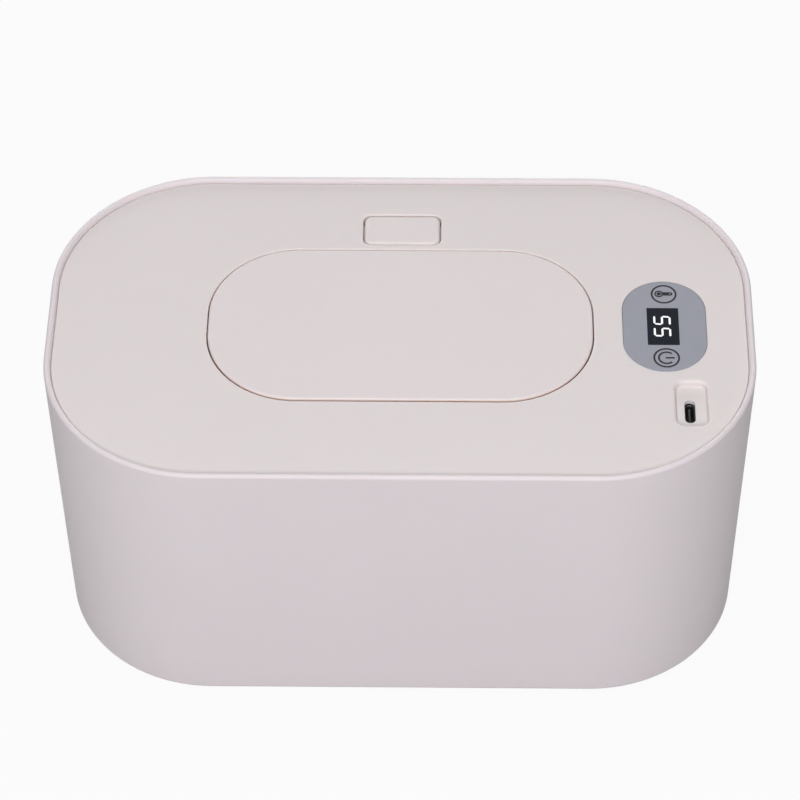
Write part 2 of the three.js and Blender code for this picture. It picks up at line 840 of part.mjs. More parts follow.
// Small round part lying along Y on the heating film
function makeSensor(x, y, radius, length) {
  const z = filmUnder + heaterFilm + seatGap + radius;
  const geometry = new THREE.CylinderGeometry(radius, radius, length, screwSteps);
  geometry.translate(x, y, z);
  return finish(geometry);
}

function makeLead(y) {
  const low = filmUnder + heaterFilm + seatGap;
  const high = boardUnder - seatGap;
  const end = leadRadius * 2;
  const middle = (low + high) / 2;
  const points = [
    [leadX, y, low], [leadX, y, low + end], [leadX + leadReach / 2, y, middle],
    [leadX + leadReach, y, high - end], [leadX + leadReach, y, high],
  ];
  return tube(points, leadRadius, leadSides);
}

function makeBoard() {
  const outline = new THREE.Shape([
    new THREE.Vector2(boardLeft, -boardFront), new THREE.Vector2(boardRight - boardCorner, -boardFront),
    new THREE.Vector2(boardRight, boardCorner - boardFront), new THREE.Vector2(boardRight, boardBack),
    new THREE.Vector2(boardLeft, boardBack),
  ]);
  const plate = new THREE.ExtrudeGeometry(outline, { depth: boardThickness, bevelEnabled: false });
  plate.translate(0, 0, boardUnder);
  const half = chipSize / 2;
  const chip = block(chipX - half, chipX + half, chipY - half, chipY + half,
    boardTop - overlap, boardTop + chipHeight);
  const hole = screwRadius + screwGap;
  return combine([finish(plate), chip], boardScrewPlaces().map(([x, y]) =>
    post(x, y, hole, boardUnder - overrun, boardTop + overrun)));
}

// Upright power socket: a metal can with a contact tongue inside
function makeSocket() {
  const outline = (inset) =>
    roundedOutline(socketWidth, socketLength, socketWidth / 2, fineSteps, inset, slotX, slotY);
  const base = socketTop - socketHeight;
  const cavity = socketTop - socketDepth;
  const tongue = block(slotX - tongueThickness / 2, slotX + tongueThickness / 2,
    slotY - tongueLength / 2, slotY + tongueLength / 2, cavity - overlap, cavity + tongueHeight);
  const can = combine([slab(outline, 0, base, socketTop)],
    [slab(outline, socketWall, cavity, socketTop + overrun)]);
  return combine([can, tongue]);
}

function makeFilm() {
  const top = coverTop - filmBelowTop;
  return slab(filmOutline, filmGap, top - filmThickness, top);
}

function makeDisplay() {
  const x = panelX - displayShift;
  const halfX = displayWidth / 2 - seamGap;
  const halfY = displayLength / 2 - seamGap;
  const top = coverTop - filmBelowTop - filmThickness - seatGap;
  return block(x - halfX, x + halfX, -halfY, halfY, boardTop + seatGap, top);
}

// Hooked hinge arm: an eye on the pin, a base under the cover's edge and a stem to the lid
function makeArm(x) {
  const place = (ahead, up) => [hingeY + ahead, hingeZ + up];
  const round = (ahead, up, radius, from, to, steps) => {
    const points = [];
    for (let step = 0; step <= steps; step += 1) {
      const angle = quarterTurn * (from + ((to - from) * step) / steps);
      points.push(place(ahead + radius * Math.cos(angle), up + radius * Math.sin(angle)));
    }
    return points;
  };
  const top = lidUnder + overlap - hingeZ;
  const back = armClear + armStem;
  const corner = armStem;
  const innerUp = armBase - armDepth;
  const innerRadius = armBase / 2;
  const waist = armEyeRadius - armWaist;
  const points = [
    place(back, top),
    ...round(back - corner, corner - armDepth, corner, 0, -1, fineSteps),
    ...round(corner - armEyeRadius, corner - armDepth, corner, -1, -2, fineSteps),
    ...round(0, 0, armEyeRadius, 2, -waistTurnShare, cornerSteps * 2),
    ...round(waist + innerRadius, innerUp + innerRadius, innerRadius, -2, -1, roundSteps),
    ...round(armClear - innerRadius, innerUp + innerRadius, innerRadius, -1, 0, roundSteps),
    place(armClear, top),
  ];
  return alongX(points, x - armThickness / 2, x + armThickness / 2);
}

// Lid: undercut plate with a closing ring, stiffening ribs, two hinge arms and a catch
function makeLid() {
  const plate = shape(lidOutline, [
    [lidUndercut, lidUnder], [0, lidUnder + lidThickness / 2],
    ...arc(lidEdgeRound, coverTop - lidEdgeRound, lidEdgeRound, 0, 1),
  ]);
  const hangTop = lidUnder + overlap;
  const ring = combine([slab(lipOutline, 0, gasketTop + seatGap, hangTop)],
    [slab(lipOutline, lipWall, gasketTop, hangTop + overrun)]);
  const ribY = lipWidth / 2 - lipWall / 2;
  const ribs = [-1, 0, 1].map((k) => block(
    k * lidRibSpacing - lidRibThickness / 2, k * lidRibSpacing + lidRibThickness / 2,
    throatY - ribY, throatY + ribY, lidUnder - lidRibDepth, hangTop));
  const tip = boltTip - catchRunning;
  const face = tip - catchLip;
  const lipTop = boltUnder - seatGap;
  const hook = alongX([
    [face - catchThickness, hangTop], [face - catchThickness, lipTop - catchLip * 2],
    [tip, lipTop - catchLip * 2], [tip, lipTop - catchLip], [face, lipTop], [face, hangTop],
  ], -catchHalfWidth, catchHalfWidth);
  return combine([plate, ring, ...ribs, makeArm(-armX), makeArm(armX), hook],
    [barX(hingeY, hingeZ, pinRadius + pinGap, -pinHalfLength, pinHalfLength)]);
}

// Soft ring under the lid that closes on the dispensing lip
function makeGasket() {
  const outer = (lipWall - gasketWidth) / 2;
  const inner = outer + gasketWidth;
  const low = gasketTop - gasketHeight;
  return shape(lipOutline, [
    [outer, gasketTop], [outer, low + gasketEdge], [outer + gasketEdge, low],
    [inner - gasketEdge, low], [inner, low + gasketEdge], [inner, gasketTop],
  ], true);
}

// Hollow button with stop flanges, a wedge that drives the bolt, and pegs for its springs
function makeButton() {
  const capUnder = coverTop - buttonCap;
  const skirtLow = coverTop - buttonDepth;
  const body = shape(buttonOutline, [
    [buttonWall, capUnder], [buttonWall, skirtLow], [0, skirtLow],
    ...arc(buttonEdgeRound, coverTop - buttonEdgeRound, buttonEdgeRound, 0, 1),
  ]);
  const flangeTopZ = coverUnder - seatGap;
  const flanges = [-1, 1].map((side) => {
    const [x0, x1] = [buttonLength / 2 - buttonWall / 2, buttonLength / 2 + buttonFlange]
      .map((x) => x * side).sort((a, b) => a - b);
    const half = buttonWidth / 2 - buttonRadius;
    return block(x0, x1, buttonY - half, buttonY + half, flangeTopZ - buttonFlangeHeight, flangeTopZ);
  });
  const wedge = alongX([
    [wedgeFront, capUnder + overlap], [wedgeFront, wedgeLow], [wedgeFront + wedgeTip, wedgeLow],
    [wedgeFront + wedgeTip + wedgeRise, wedgeLow + wedgeRise],
    [wedgeFront + wedgeTip + wedgeRise, capUnder + overlap],
  ], -wedgeHalfWidth, wedgeHalfWidth);
  const pegs = [-1, 1].map((side) => post(
    side * buttonSpringX, buttonY, springPegRadius, capUnder - springPeg, capUnder + overlap));
  return combine([body, ...flanges, wedge, ...pegs]);
}

// Sliding bolt with a sloped nose and a window whose back edge the wedge pushes
function makeBolt() {
  const nose = boltThickness - boltNoseRise;
  const bar = alongX([
    [boltTip, boltUnder], [boltRear, boltUnder], [boltRear, boltTop],
    [boltTip + nose, boltTop], [boltTip, boltTop - nose],
  ], -boltHalfWidth, boltHalfWidth);
  const windowFront = wedgeFront - buttonTravel - seatGap;
  const slope = wedgeFront + wedgeTip + wedgeClear - wedgeLow;
  const window = alongX([
    [windowFront, boltUnder - overrun], [slope + boltUnder - overrun, boltUnder - overrun],
    [slope + boltTop + overrun, boltTop + overrun], [windowFront, boltTop + overrun],
  ], -boltWindowHalfWidth, boltWindowHalfWidth);
  return combine([bar], [window]);
}

// Bracket under the pocket: floor for the bolt, seats for the button springs, spring stop
function makeBracket() {
  const low = bracketTop - bracketPlate;
  const pocketHalf = pocketHalfLength + pocketWall;
  const front = pocketFront + seatGap;
  const wingFront = pocketBack + seatGap;
  const pegs = [-1, 1].map((side) => post(
    side * buttonSpringX, buttonY, springPegRadius, bracketTop - overlap, bracketTop + springPeg));
  const windowHalf = wedgeHalfWidth + pocketGap;
  const hole = screwRadius + screwGap;
  return combine([
    block(-pocketHalf, pocketHalf, front, bracketBack, low, bracketTop),
    block(-bracketHalfWidth, bracketHalfWidth, wingFront, bracketBack, low, bracketTop),
    block(-boltHalfWidth, boltHalfWidth, bracketBack - bracketStop, bracketBack,
      bracketTop - overlap, boltTop + overlap),
    ...pegs,
  ], [
    block(-windowHalf, windowHalf, wedgeFront - pocketGap, wedgeFront + wedgeTip + wedgeRise,
      low - overrun, bracketTop + overrun),
    ...bracketScrewPlaces().map(([x, y]) => post(x, y, hole, low - overrun, bracketTop + overrun)),
  ]);
}

// Screw driven upward, seated with its head's top face at the given level
function makeScrew([x, y], seat, head, length) {
  const tip = seat + length;
  return turned([
    [screwHeadRadius, seat - head], [screwHeadRadius, seat], [screwRadius, seat], [screwRadius, tip],
  ], x, y, screwSteps);
}

// Screws of each kind, numbered in turn
function makeScrews() {
  const boardSeat = boardUnder - seatGap;
  const bracketSeat = bracketTop - bracketPlate - seatGap;
  const kinds = [
    ["cover_screw", coverScrewPlaces(), innerCoverUnder - seatGap, screwHead, screwLength],
    ["plate_screw", plateScrewPlaces(), plateScrewSeat, smallScrewHead, plateScrewLength],
    ["board_screw", boardScrewPlaces(), boardSeat, smallScrewHead, smallScrewLength],
    ["bracket_screw", bracketScrewPlaces(), bracketSeat, smallScrewHead, smallScrewLength],
  ];
  return kinds.flatMap(([name, places, seat, head, length]) => places.map((place, k) =>
    [`${name}_${k + 1}`, makeScrew(place, seat, head, length)]));
}

// Coil spring carried to its place by a map of its points, with its least self gap printed
function makeSpring(name, points, wire, place) {
  console.log(`${name}: least gap between turns ${selfGap(points, wire).toFixed(2)} mm`);
  return tube(points.map(place), wire / 2, coilSides);
}

function makeButtonSpring(name, x) {
  const low = bracketTop + seatGap;
  const high = coverTop - buttonCap - seatGap;
  const points = coilPoints(buttonSpringRadius, buttonSpringTurns, low, high, buttonSpringWire);
  return makeSpring(name, points, buttonSpringWire, ([a, b, c]) => [x + a, buttonY + b, c]);
}

function makeLatchSpring(name) {
  const from = boltRear + seatGap;
  const to = bracketBack - bracketStop - seatGap;
  const middle = (boltTop + boltUnder) / 2;
  const points = coilPoints(latchSpringRadius, latchSpringTurns, from, to, latchSpringWire);
  return makeSpring(name, points, latchSpringWire, ([a, b, c]) => [a, c, middle + b]);
}

function makeTouchSpring(name, y) {
  const points = coilPoints(
    touchSpringRadius, touchSpringTurns, boardTop + seatGap, coverUnder - seatGap, touchSpringWire);
  return makeSpring(name, points, touchSpringWire, ([a, b, c]) => [touchX + a, y + b, c]);
}

// Torsion spring on the pin: one leg behind a hinge arm, the other up under the cover
function makeLidSpring(name) {
  const half = lidSpringLength / 2;
  const behind = armEyeRadius + seatGap + lidSpringWire / 2;
  const rest = hingeBelowTop - coverPlate - seatGap - lidSpringWire / 2;
  const steps = lidSpringTurns * coilSteps;
  const coil = [];
  for (let step = 0; step <= steps; step += 1) {
    const angle = Math.PI - (fullTurn * step) / coilSteps;
    coil.push([
      half - (lidSpringLength * step) / steps,
      lidSpringRadius * Math.cos(angle), lidSpringRadius * Math.sin(angle),
    ]);
  }
  const points = [
    [armX, -behind, -lidSpringDrop], [half + lidSpringWire, -behind, -lidSpringDrop],
    [half, -behind, lidSpringWire - lidSpringDrop], [half, -lidSpringRadius, -lidSpringWire],
    ...coil,
    [-half, -lidSpringRadius - lidSpringWire, rest - lidSpringWire / 2],
    [-half, -lidSpringRadius - lidSpringWire * 2, rest], [-half, -lidSpringRadius - lidSpringLeg, rest],
  ];
  return makeSpring(name, points, lidSpringWire, ([a, b, c]) => [a, hingeY + b, hingeZ + c]);
}

// Finishes seen in the photograph or usual for the piece
const finishes = {
  shell: { color: 0xdcd8da, roughness: 0.45, metalness: 0 },
  cover: { color: 0xddd5d5, roughness: 0.42, metalness: 0 },
  inner: { color: 0xe4e2e0, roughness: 0.5, metalness: 0 },
  film: { color: 0x9ba0aa, roughness: 0.55, metalness: 0 },
  dark: { color: 0x26262b, roughness: 0.3, metalness: 0 },
  rubber: { color: 0x6f7176, roughness: 0.9, metalness: 0 },
  silicone: { color: 0xd8d6d4, roughness: 0.6, metalness: 0 },
  board: { color: 0x1f5a3c, roughness: 0.5, metalness: 0 },
  polyimide: { color: 0xb5762a, roughness: 0.5, metalness: 0 },
  bead: { color: 0x8a4a2e, roughness: 0.3, metalness: 0 },
  steel: { color: 0xb9bbbf, roughness: 0.35, metalness: 1 },
  aluminium: { color: 0xc9cbce, roughness: 0.4, metalness: 1 },
};
const group = new THREE.Group();
group.name = "baby_wipe_warmer";

function add(name, geometry, finishName) {
  const mesh = new THREE.Mesh(geometry, new THREE.MeshStandardMaterial(finishes[finishName]));
  mesh.name = name;
  group.add(mesh);
}

add("outer_shell", makeShell(), "shell");
add("inner_liner", makeLiner(), "inner");
footPlaces().forEach((place, k) => add(`rubber_foot_${k + 1}`, makeFoot(place), "rubber"));

add("cover_panel", makeCover(), "cover");
add("inner_cover", makeInnerCover(), "inner");
add("cover_seal", makeSeal(), "silicone");
add("heater_plate", makeHeaterLayer(0, screwRadius + screwGap, heaterUnder, heaterTop), "aluminium");
add("heater_film", makeHeaterLayer(heaterFilmInset, bossRadius, filmUnder, filmUnder + heaterFilm),
  "polyimide");
add("thermal_fuse", makeSensor(fuseX, fuseY, fuseRadius, fuseLength), "aluminium");
add("thermistor", makeSensor(fuseX, thermistorY, thermistorRadius, thermistorLength), "bead");
add("heater_lead_1", makeLead(leadY - leadSpacing), "dark");
add("heater_lead_2", makeLead(leadY), "dark");
add("sensor_lead", makeLead(thermistorY), "silicone");
add("control_film", makeFilm(), "film");
add("display_module", makeDisplay(), "dark");
add("control_board", makeBoard(), "board");
add("usb_socket", makeSocket(), "steel");
[touchShift + touchSpacing / 2, touchShift - touchSpacing / 2].forEach((y, k) => {
  const name = `touch_spring_${k + 1}`;
  add(name, makeTouchSpring(name, y), "steel");
});

add("hinge_pin", barX(hingeY, hingeZ, pinRadius, -pinHalfLength, pinHalfLength), "steel");
add("lid_spring", makeLidSpring("lid_spring"), "steel");
add("lid", makeLid(), "cover");
add("lid_gasket", makeGasket(), "silicone");

add("release_button", makeButton(), "cover");
add("latch_bolt", makeBolt(), "inner");
add("latch_bracket", makeBracket(), "inner");
add("latch_spring", makeLatchSpring("latch_spring"), "steel");
[-buttonSpringX, buttonSpringX].forEach((x, k) => {
  const name = `button_spring_${k + 1}`;
  add(name, makeButtonSpring(name, x), "steel");
});
makeScrews().forEach(([name, geometry]) => add(name, geometry, "steel"));

export default group;
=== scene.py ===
import math

import bmesh
import bpy
from mathutils import Matrix, Vector


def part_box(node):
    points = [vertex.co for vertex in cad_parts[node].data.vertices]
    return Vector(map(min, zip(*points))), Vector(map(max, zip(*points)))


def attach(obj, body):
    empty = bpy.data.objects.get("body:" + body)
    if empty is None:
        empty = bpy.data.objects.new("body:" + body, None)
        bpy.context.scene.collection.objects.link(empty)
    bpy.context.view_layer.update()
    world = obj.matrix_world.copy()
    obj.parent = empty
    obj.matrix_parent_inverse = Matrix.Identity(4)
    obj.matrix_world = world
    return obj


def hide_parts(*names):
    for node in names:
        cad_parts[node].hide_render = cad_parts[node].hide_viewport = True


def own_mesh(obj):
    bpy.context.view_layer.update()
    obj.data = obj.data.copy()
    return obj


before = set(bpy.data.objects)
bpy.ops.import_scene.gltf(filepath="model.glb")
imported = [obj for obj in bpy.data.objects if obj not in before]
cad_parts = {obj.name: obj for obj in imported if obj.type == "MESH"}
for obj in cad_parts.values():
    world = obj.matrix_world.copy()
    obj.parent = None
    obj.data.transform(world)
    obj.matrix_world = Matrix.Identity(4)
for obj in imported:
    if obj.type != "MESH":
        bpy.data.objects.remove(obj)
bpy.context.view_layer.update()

# Baby wipe warmer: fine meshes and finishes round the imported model
# Every size below is in millimetres, and mm turns it to the scene's metres
mm = 0.001
scene = bpy.context.scene
scene.view_settings.view_transform = "Standard"
for leftover in ("Cube", "Light", "Camera"):  # Blender's own starting objects
    if leftover in bpy.data.objects:
        bpy.data.objects.remove(bpy.data.objects[leftover])

# Clearance between pieces, how far a cutter runs past them, and how far joined solids overlap
gap = 0.3
past = 1.0
weld = 0.4
smallestRadius = 0.02
sameSpot = 0.002
sharpAngle = math.radians(34)
bevelAngle = math.radians(50)


# Outlines and solids

def boxOf(node):
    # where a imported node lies, in millimetres
    low, high = (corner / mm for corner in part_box(node))
    return {
        "length": high.x - low.x, "width": high.y - low.y,
        "x": (high.x + low.x) / 2, "y": (high.y + low.y) / 2,
        "low": low.z, "top": high.z,
        "left": low.x, "right": high.x, "front": low.y, "back": high.y,
    }


def boxesOf(node, count):
    return [boxOf(f"{node}_{k + 1}") for k in range(count)]


def around(x, y, radius, start, end, steps):
    # points round a centre, from one angle to another in quarter turns
    angles = [math.pi / 2 * (start + (end - start) * k / steps) for k in range(steps + 1)]
    return [(x + radius * math.cos(a), y + radius * math.sin(a)) for a in angles]


def circle(x, y, radius, steps=48):
    return around(x, y, radius, 0, 4, steps)[:-1]


def roundRect(size, inset=0.0, steps=16):
    # points round a rounded rectangle, pulled in by inset
    radius = max(size["radius"] - inset, smallestRadius)
    halfX = size["length"] / 2 - inset - radius
    halfY = size["width"] / 2 - inset - radius
    points = []
    for turn, (sideX, sideY) in enumerate(((1, 1), (-1, 1), (-1, -1), (1, -1))):
        x, y = size["x"] + sideX * halfX, size["y"] + sideY * halfY
        points += around(x, y, radius, turn, turn + 1, steps)
    return points


def arc(inset, z, radius, start, end, steps=6):
    # quarter turns from start to end, as pairs of inset and height
    return [(inset - u, z + v) for u, v in around(0, 0, radius, start, end, steps)]


def linked(bm):
    mesh = bpy.data.meshes.new("solid")
    bm.to_mesh(mesh)
    bm.free()
    piece = bpy.data.objects.new("solid", mesh)
    scene.collection.objects.link(piece)
    return piece


def skin(rings, closed=False):
    # rings of equal point counts, joined by faces and closed at both ends
    bm = bmesh.new()
    loops = [[bm.verts.new([c * mm for c in point]) for point in ring] for ring in rings]
    pairs = list(zip(loops, loops[1:]))
    if closed:
        pairs.append((loops[-1], loops[0]))
    for low, high in pairs:
        for k in range(len(low)):
            after = (k + 1) % len(low)
            bm.faces.new((low[k], low[after], high[after], high[k]))
    if not closed:
        bm.faces.new(loops[0])
        bm.faces.new(loops[-1])
    bmesh.ops.remove_doubles(bm, verts=bm.verts, dist=sameSpot * mm)
    bmesh.ops.recalc_face_normals(bm, faces=bm.faces)
    return linked(bm)


def formed(size, profile, closed=False, steps=16):
    # one outline carried over a profile of insets and heights
    return skin([[(x, y, z) for x, y in roundRect(size, inset, steps)] for inset, z in profile], closed)


def slab(size, low, top, inset=0.0, steps=16):
    return formed(size, [(inset, low), (inset, top)], steps=steps)


def softSlab(size, low, top, edge, steps=16, inset=0.0):
    # slab with both edges rounded
    rounds = arc(inset + edge, low + edge, edge, -1, 0, 3) + arc(inset + edge, top - edge, edge, 0, 1, 3)
    return formed(size, rounds, steps=steps)


def turned(profile, at, steps):
    rings = [[(*point, z) for point in circle(at["x"], at["y"], radius, steps)] for radius, z in profile]
    return skin(rings)


def post(at, radius, low, top, steps=24):
    return turned([(radius, low), (radius, top)], at, steps)


def posts(places, radius, low, top):
    return [post(at, radius, low, top) for at in places]


def block(left, right, front, back, low, top, edge=0.0):
    size = {
        "length": right - left, "width": back - front, "radius": max(edge, smallestRadius),
        "x": (left + right) / 2, "y": (front + back) / 2,
    }
    return softSlab(size, low, top, edge, 3) if edge else slab(size, low, top, steps=1)


def alongX(points, left, right):
    # outline in Y and Z, carried along X
    return skin([[(x, y, z) for y, z in points] for x in (left, right)])


def tube(points, radius, sides=10):
    # round wire along points, carried without twisting
    path = [Vector(p) for p in points]
    side = path[1] - path[0]
    side = side.normalized().orthogonal()
    rings = []
    for k, point in enumerate(path):
        ahead = (path[min(k + 1, len(path) - 1)] - path[max(k - 1, 0)]).normalized()
        side = (side - ahead * side.dot(ahead)).normalized()
        other = ahead.cross(side)
        rings.append([tuple(point + (side * u + other * v) * radius) for u, v in circle(0, 0, 1, sides)])
    return skin(rings)


def combine(added, taken=()):
    # joins the added solids and cuts the taken ones out, and keeps only the result
    base, *others = added
    for group, operation in ((others, "UNION"), (taken, "DIFFERENCE")):
        if not group:
            continue
        operands = bpy.data.collections.new("operands")
        scene.collection.children.link(operands)
        for other in group:
            operands.objects.link(other)
        modifier = base.modifiers.new(operation, "BOOLEAN")
        modifier.operation = operation
        modifier.operand_type = "COLLECTION"
        modifier.collection = operands
        modifier.solver = "MANIFOLD"
    bpy.context.view_layer.update()
    made = bpy.data.meshes.new_from_object(base.evaluated_get(bpy.context.evaluated_depsgraph_get()))
    base.modifiers.clear()
    base.data = made
    for other in [*others, *taken]:
        bpy.data.objects.remove(other)
    for operands in [c for c in bpy.data.collections if c.name.startswith("operands")]:
        bpy.data.collections.remove(operands)
    return base


def together(pieces):
    # several solids as one mesh, where they lie clear of each other
    bm = bmesh.new()
    for piece in pieces:
        bm.from_mesh(piece.data)
        bpy.data.objects.remove(piece)
    return linked(bm)


def finish(piece, material, edge=0.0):
    # one material, smooth shading with crisp edges, and a soft bevel where edge is given
    piece.data.materials.clear()
    piece.data.materials.append(material)
    for face in piece.data.polygons:
        face.use_smooth = True
        face.material_index = 0
    piece.data.set_sharp_from_angle(angle=sharpAngle)
    if edge:
        bevel = piece.modifiers.new("edges", "BEVEL")
        bevel.width = edge * mm
        bevel.segments = 2
        bevel.limit_method = "ANGLE"
        bevel.angle_limit = bevelAngle
    normals = piece.modifiers.new("normals", "WEIGHTED_NORMAL")
    normals.keep_sharp = True


def place(piece, name, body, material, slotName, *nodes):
    # names and finishes a piece, and hangs it on its body
    piece.name = name
    piece.data.name = name
    finish(piece, material)
    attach(piece, body)
    if nodes:
        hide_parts(*nodes)
    return piece


# Materials

def linearColor(code):
    # sRGB hex to the linear colour that a socket takes
    parts = [int(code[k:k + 2], 16) / 255 for k in (1, 3, 5)]
    linear = [c / 12.92 if c <= 0.04045 else ((c + 0.055) / 1.055) ** 2.4 for c in parts]
    return (*linear, 1.0)


def addNode(tree, kind, inputs=None, **settings):
    # a shader node with its settings, whose inputs are values or other nodes' outputs
    node = tree.nodes.new("ShaderNode" + kind)
    for key, value in settings.items():
        setattr(node, key, value)
    for key, value in (inputs or {}).items():
        if isinstance(value, bpy.types.NodeSocket):
            tree.links.new(value, node.inputs[key])
        else:
            node.inputs[key].default_value = value
    return node


def materialFrom(recipe):
    # turns a recipe for a shader's inputs into a maker of materials
    def make(name, look):
        material = bpy.data.materials.new(name)
        material.use_nodes = True
        tree = material.node_tree
        tree.nodes.clear()
        spot = addNode(tree, "TexCoord").outputs["Object"]
        shader = addNode(tree, "BsdfPrincipled", recipe(tree, spot, look))
        addNode(tree, "OutputMaterial", {"Surface": shader.outputs[0]})
        return material
    return make


def perMetre(size):
    # pattern scale whose features are this many millimetres apart
    return 1 / (size * mm)


# Nearly all of a noise pattern's values lie in this range
noiseRange = (0.3, 0.7)


def noise(tree, spot, size, detail, roughness=0.5):
    return addNode(tree, "TexNoise", {
        "Vector": spot, "Scale": perMetre(size), "Detail": detail, "Roughness": roughness}).outputs["Fac"]


def blend(tree, factor, first, second):
    # between two colours, each a hex code or another node's output
    first, second = (linearColor(c) if isinstance(c, str) else c for c in (first, second))
    return addNode(tree, "Mix", {
        "Factor": factor, 6: first, 7: second}, data_type="RGBA").outputs[2]


def spread(tree, value, taken, given):
    # turns the range taken into the range given, and stays within it
    return addNode(tree, "MapRange", {
        "Value": value, "From Min": taken[0], "From Max": taken[1],
        "To Min": given[0], "To Max": given[1]}).outputs["Result"]


def relief(tree, height, strength, depth):
    return addNode(tree, "Bump", {
        "Height": height, "Strength": strength, "Distance": depth * mm}).outputs["Normal"]


@materialFrom
def mouldedPlastic(tree, spot, look):
    # A thermoplastic moulded in a spark-eroded tool: one even colour that drifts a little where the
    # melt cooled, a satin sheen, and a fine pebble grain that breaks up the highlight
    colour = blend(tree, noise(tree, spot, look["drift"], detail=2.0), *look["tones"])
    wear = 0.03
    handled = noise(tree, spot, look["drift"] / 3, detail=4.0, roughness=0.65)
    grain = noise(tree, spot, look["grain"], detail=3.0, roughness=0.6)
    if "paintedGapShade" in look:
        # painted shade: where the occlusion finds a narrow gap or crevice, the colour turns to a warmer tone
        # that stands in for the warm shade there
        openness = addNode(tree, "AmbientOcclusion", {
            "Distance": look["paintedShadeReach"] * mm}, samples=8)
        paintedShadeMask = spread(tree, openness.outputs["AO"], look["paintedShadeOpenness"], (1.0, 0.0))
        colour = blend(tree, paintedShadeMask, colour, look["paintedGapShade"])
    return {
        "Base Color": colour,
        "Roughness": spread(tree, handled, noiseRange, (look["roughness"] - wear, look["roughness"] + wear)),
        "Normal": relief(tree, grain, look["bump"], look["depth"]), "IOR": look["ior"],
        "Subsurface Weight": look.get("scatter", 0.0), "Subsurface Radius": (1.0, 0.8, 0.7),
        "Subsurface Scale": 2.0 * mm,
    }


# tones are the two close colours that a surface drifts between
absLook = {
    "tones": ("#e4dcdc", "#e1d9d9"), "roughness": 0.5, "ior": 1.53,
    "drift": 60, "grain": 0.35, "bump": 0.25, "depth": 0.02, "scatter": 0.45,
    # painted shade: these three set the warmer colour painted into narrow gaps and crevices
    "paintedGapShade": "#e4d8d4", "paintedShadeReach": 1.5, "paintedShadeOpenness": (0.3, 0.85),
}
cleanLook = {**absLook, "tones": ("#e5dcdd", "#e2d9da")}
absShell = mouldedPlastic("ABS_moulded_satin_shell", {**absLook, "tones": ("#e2dade", "#dfd7db")})
absCover = mouldedPlastic("ABS_moulded_satin_cover", absLook)
# the lid's painted gap shade is warmer and deeper than the cover's
absLid = mouldedPlastic("ABS_moulded_satin_lid", {**cleanLook, "paintedGapShade": "#f2d1c5"})
absButton = mouldedPlastic("ABS_moulded_satin_button", cleanLook)
polypropylene = mouldedPlastic("polypropylene_moulded_plain", {
    "tones": ("#eceae8", "#e6e4e2"), "roughness": 0.5, "ior": 1.49,
    "drift": 45, "grain": 0.6, "bump": 0.15, "depth": 0.02,
})
acetal = mouldedPlastic("acetal_moulded_smooth", {
    "tones": ("#efeeea", "#e9e8e4"), "roughness": 0.32, "ior": 1.48,
    "drift": 20, "grain": 0.5, "bump": 0.1, "depth": 0.01,
})
siliconeSoft = mouldedPlastic("silicone_moulded_matt", {
    "tones": ("#e3e0dc", "#dad7d3"), "roughness": 0.6, "ior": 1.41,
    "drift": 15, "grain": 0.5, "bump": 0.3, "depth": 0.02,
})
footRubber = mouldedPlastic("rubber_moulded_matt", {
    "tones": ("#8a8b8f", "#7f8084"), "roughness": 0.85, "ior": 1.52,
    "drift": 6, "grain": 0.3, "bump": 0.5, "depth": 0.03,
})
darkLook = {"drift": 4, "grain": 0.3, "bump": 0.2, "depth": 0.02}
wireCover = mouldedPlastic("silicone_extruded_sleeve", {
    **darkLook, "tones": ("#2a2a2e", "#222226"), "roughness": 0.5, "ior": 1.41})
tongueGrey = mouldedPlastic("LCP_moulded_dark", {
    **darkLook, "tones": ("#38383d", "#323237"), "roughness": 0.4, "ior": 1.6})
contactBlack = mouldedPlastic("nylon_moulded_black", {
    **darkLook, "tones": ("#1b1b1e", "#151518"), "roughness": 0.4, "ior": 1.53})
print("plastics made")


@materialFrom
def workedMetal(tree, spot, look):
    # A bare metal whose surface keeps the marks of its last process: fine streaks along the run of
    # the rolls or the wire, which stretch the highlight across them
    rubbed, scored = 0.06, 0.08
    run = addNode(tree, "VectorMath", {
        0: spot, 1: look.get("run", (1, 1, 1))}, operation="MULTIPLY")
    streaks = noise(tree, run.outputs[0], look["streak"], detail=4.0, roughness=0.6)
    return {
        "Base Color": blend(tree, streaks, *look["tones"]), "Metallic": 1.0,
        "Roughness": spread(tree, streaks, noiseRange,
                            (look["roughness"] - rubbed, look["roughness"] + scored)),
        "Normal": relief(tree, streaks, strength=0.3, depth=look["depth"]),
    }


steelZinc = workedMetal("steel_zinc_plated", {
    "tones": ("#c9ccd0", "#b3b7bd"), "roughness": 0.3, "streak": 0.6, "depth": 0.01})
steelWire = workedMetal("spring_steel_drawn", {
    "tones": ("#c2c4c7", "#a6a9ad"), "roughness": 0.28, "streak": 0.4, "depth": 0.01})
steelPin = workedMetal("stainless_steel_ground", {
    "tones": ("#cdced0", "#bbbcbf"), "roughness": 0.2, "streak": 0.3, "depth": 0.005, "run": (6, 1, 1)})
aluminiumSheet = workedMetal("aluminium_rolled_sheet", {
    "tones": ("#d3d5d7", "#c2c5c8"), "roughness": 0.34, "streak": 1.2, "depth": 0.01, "run": (0.08, 1, 1)})
steelBlack = workedMetal("steel_black_nickel_plated", {
    "tones": ("#75757b", "#67676d"), "roughness": 0.45, "streak": 0.4, "depth": 0.005})
brassGold = workedMetal("brass_gold_plated", {
    "tones": ("#e3c16a", "#cfa94e"), "roughness": 0.25, "streak": 0.4, "depth": 0.005})
print("metals made")


@materialFrom
def polycarbonateFilm(tree, spot, look):
    # Polycarbonate film, back printed and embossed to a fine matt: flat colour under a velvet sheen
    weave = addNode(tree, "TexVoronoi", {"Vector": spot, "Scale": perMetre(look["grain"])})
    return {
        "Base Color": blend(tree, noise(tree, spot, look["drift"], detail=3.0), *look["tones"]),
        "Roughness": look["roughness"], "IOR": 1.58,
        "Normal": relief(tree, weave.outputs["Distance"], look["bump"], depth=0.01),
    }


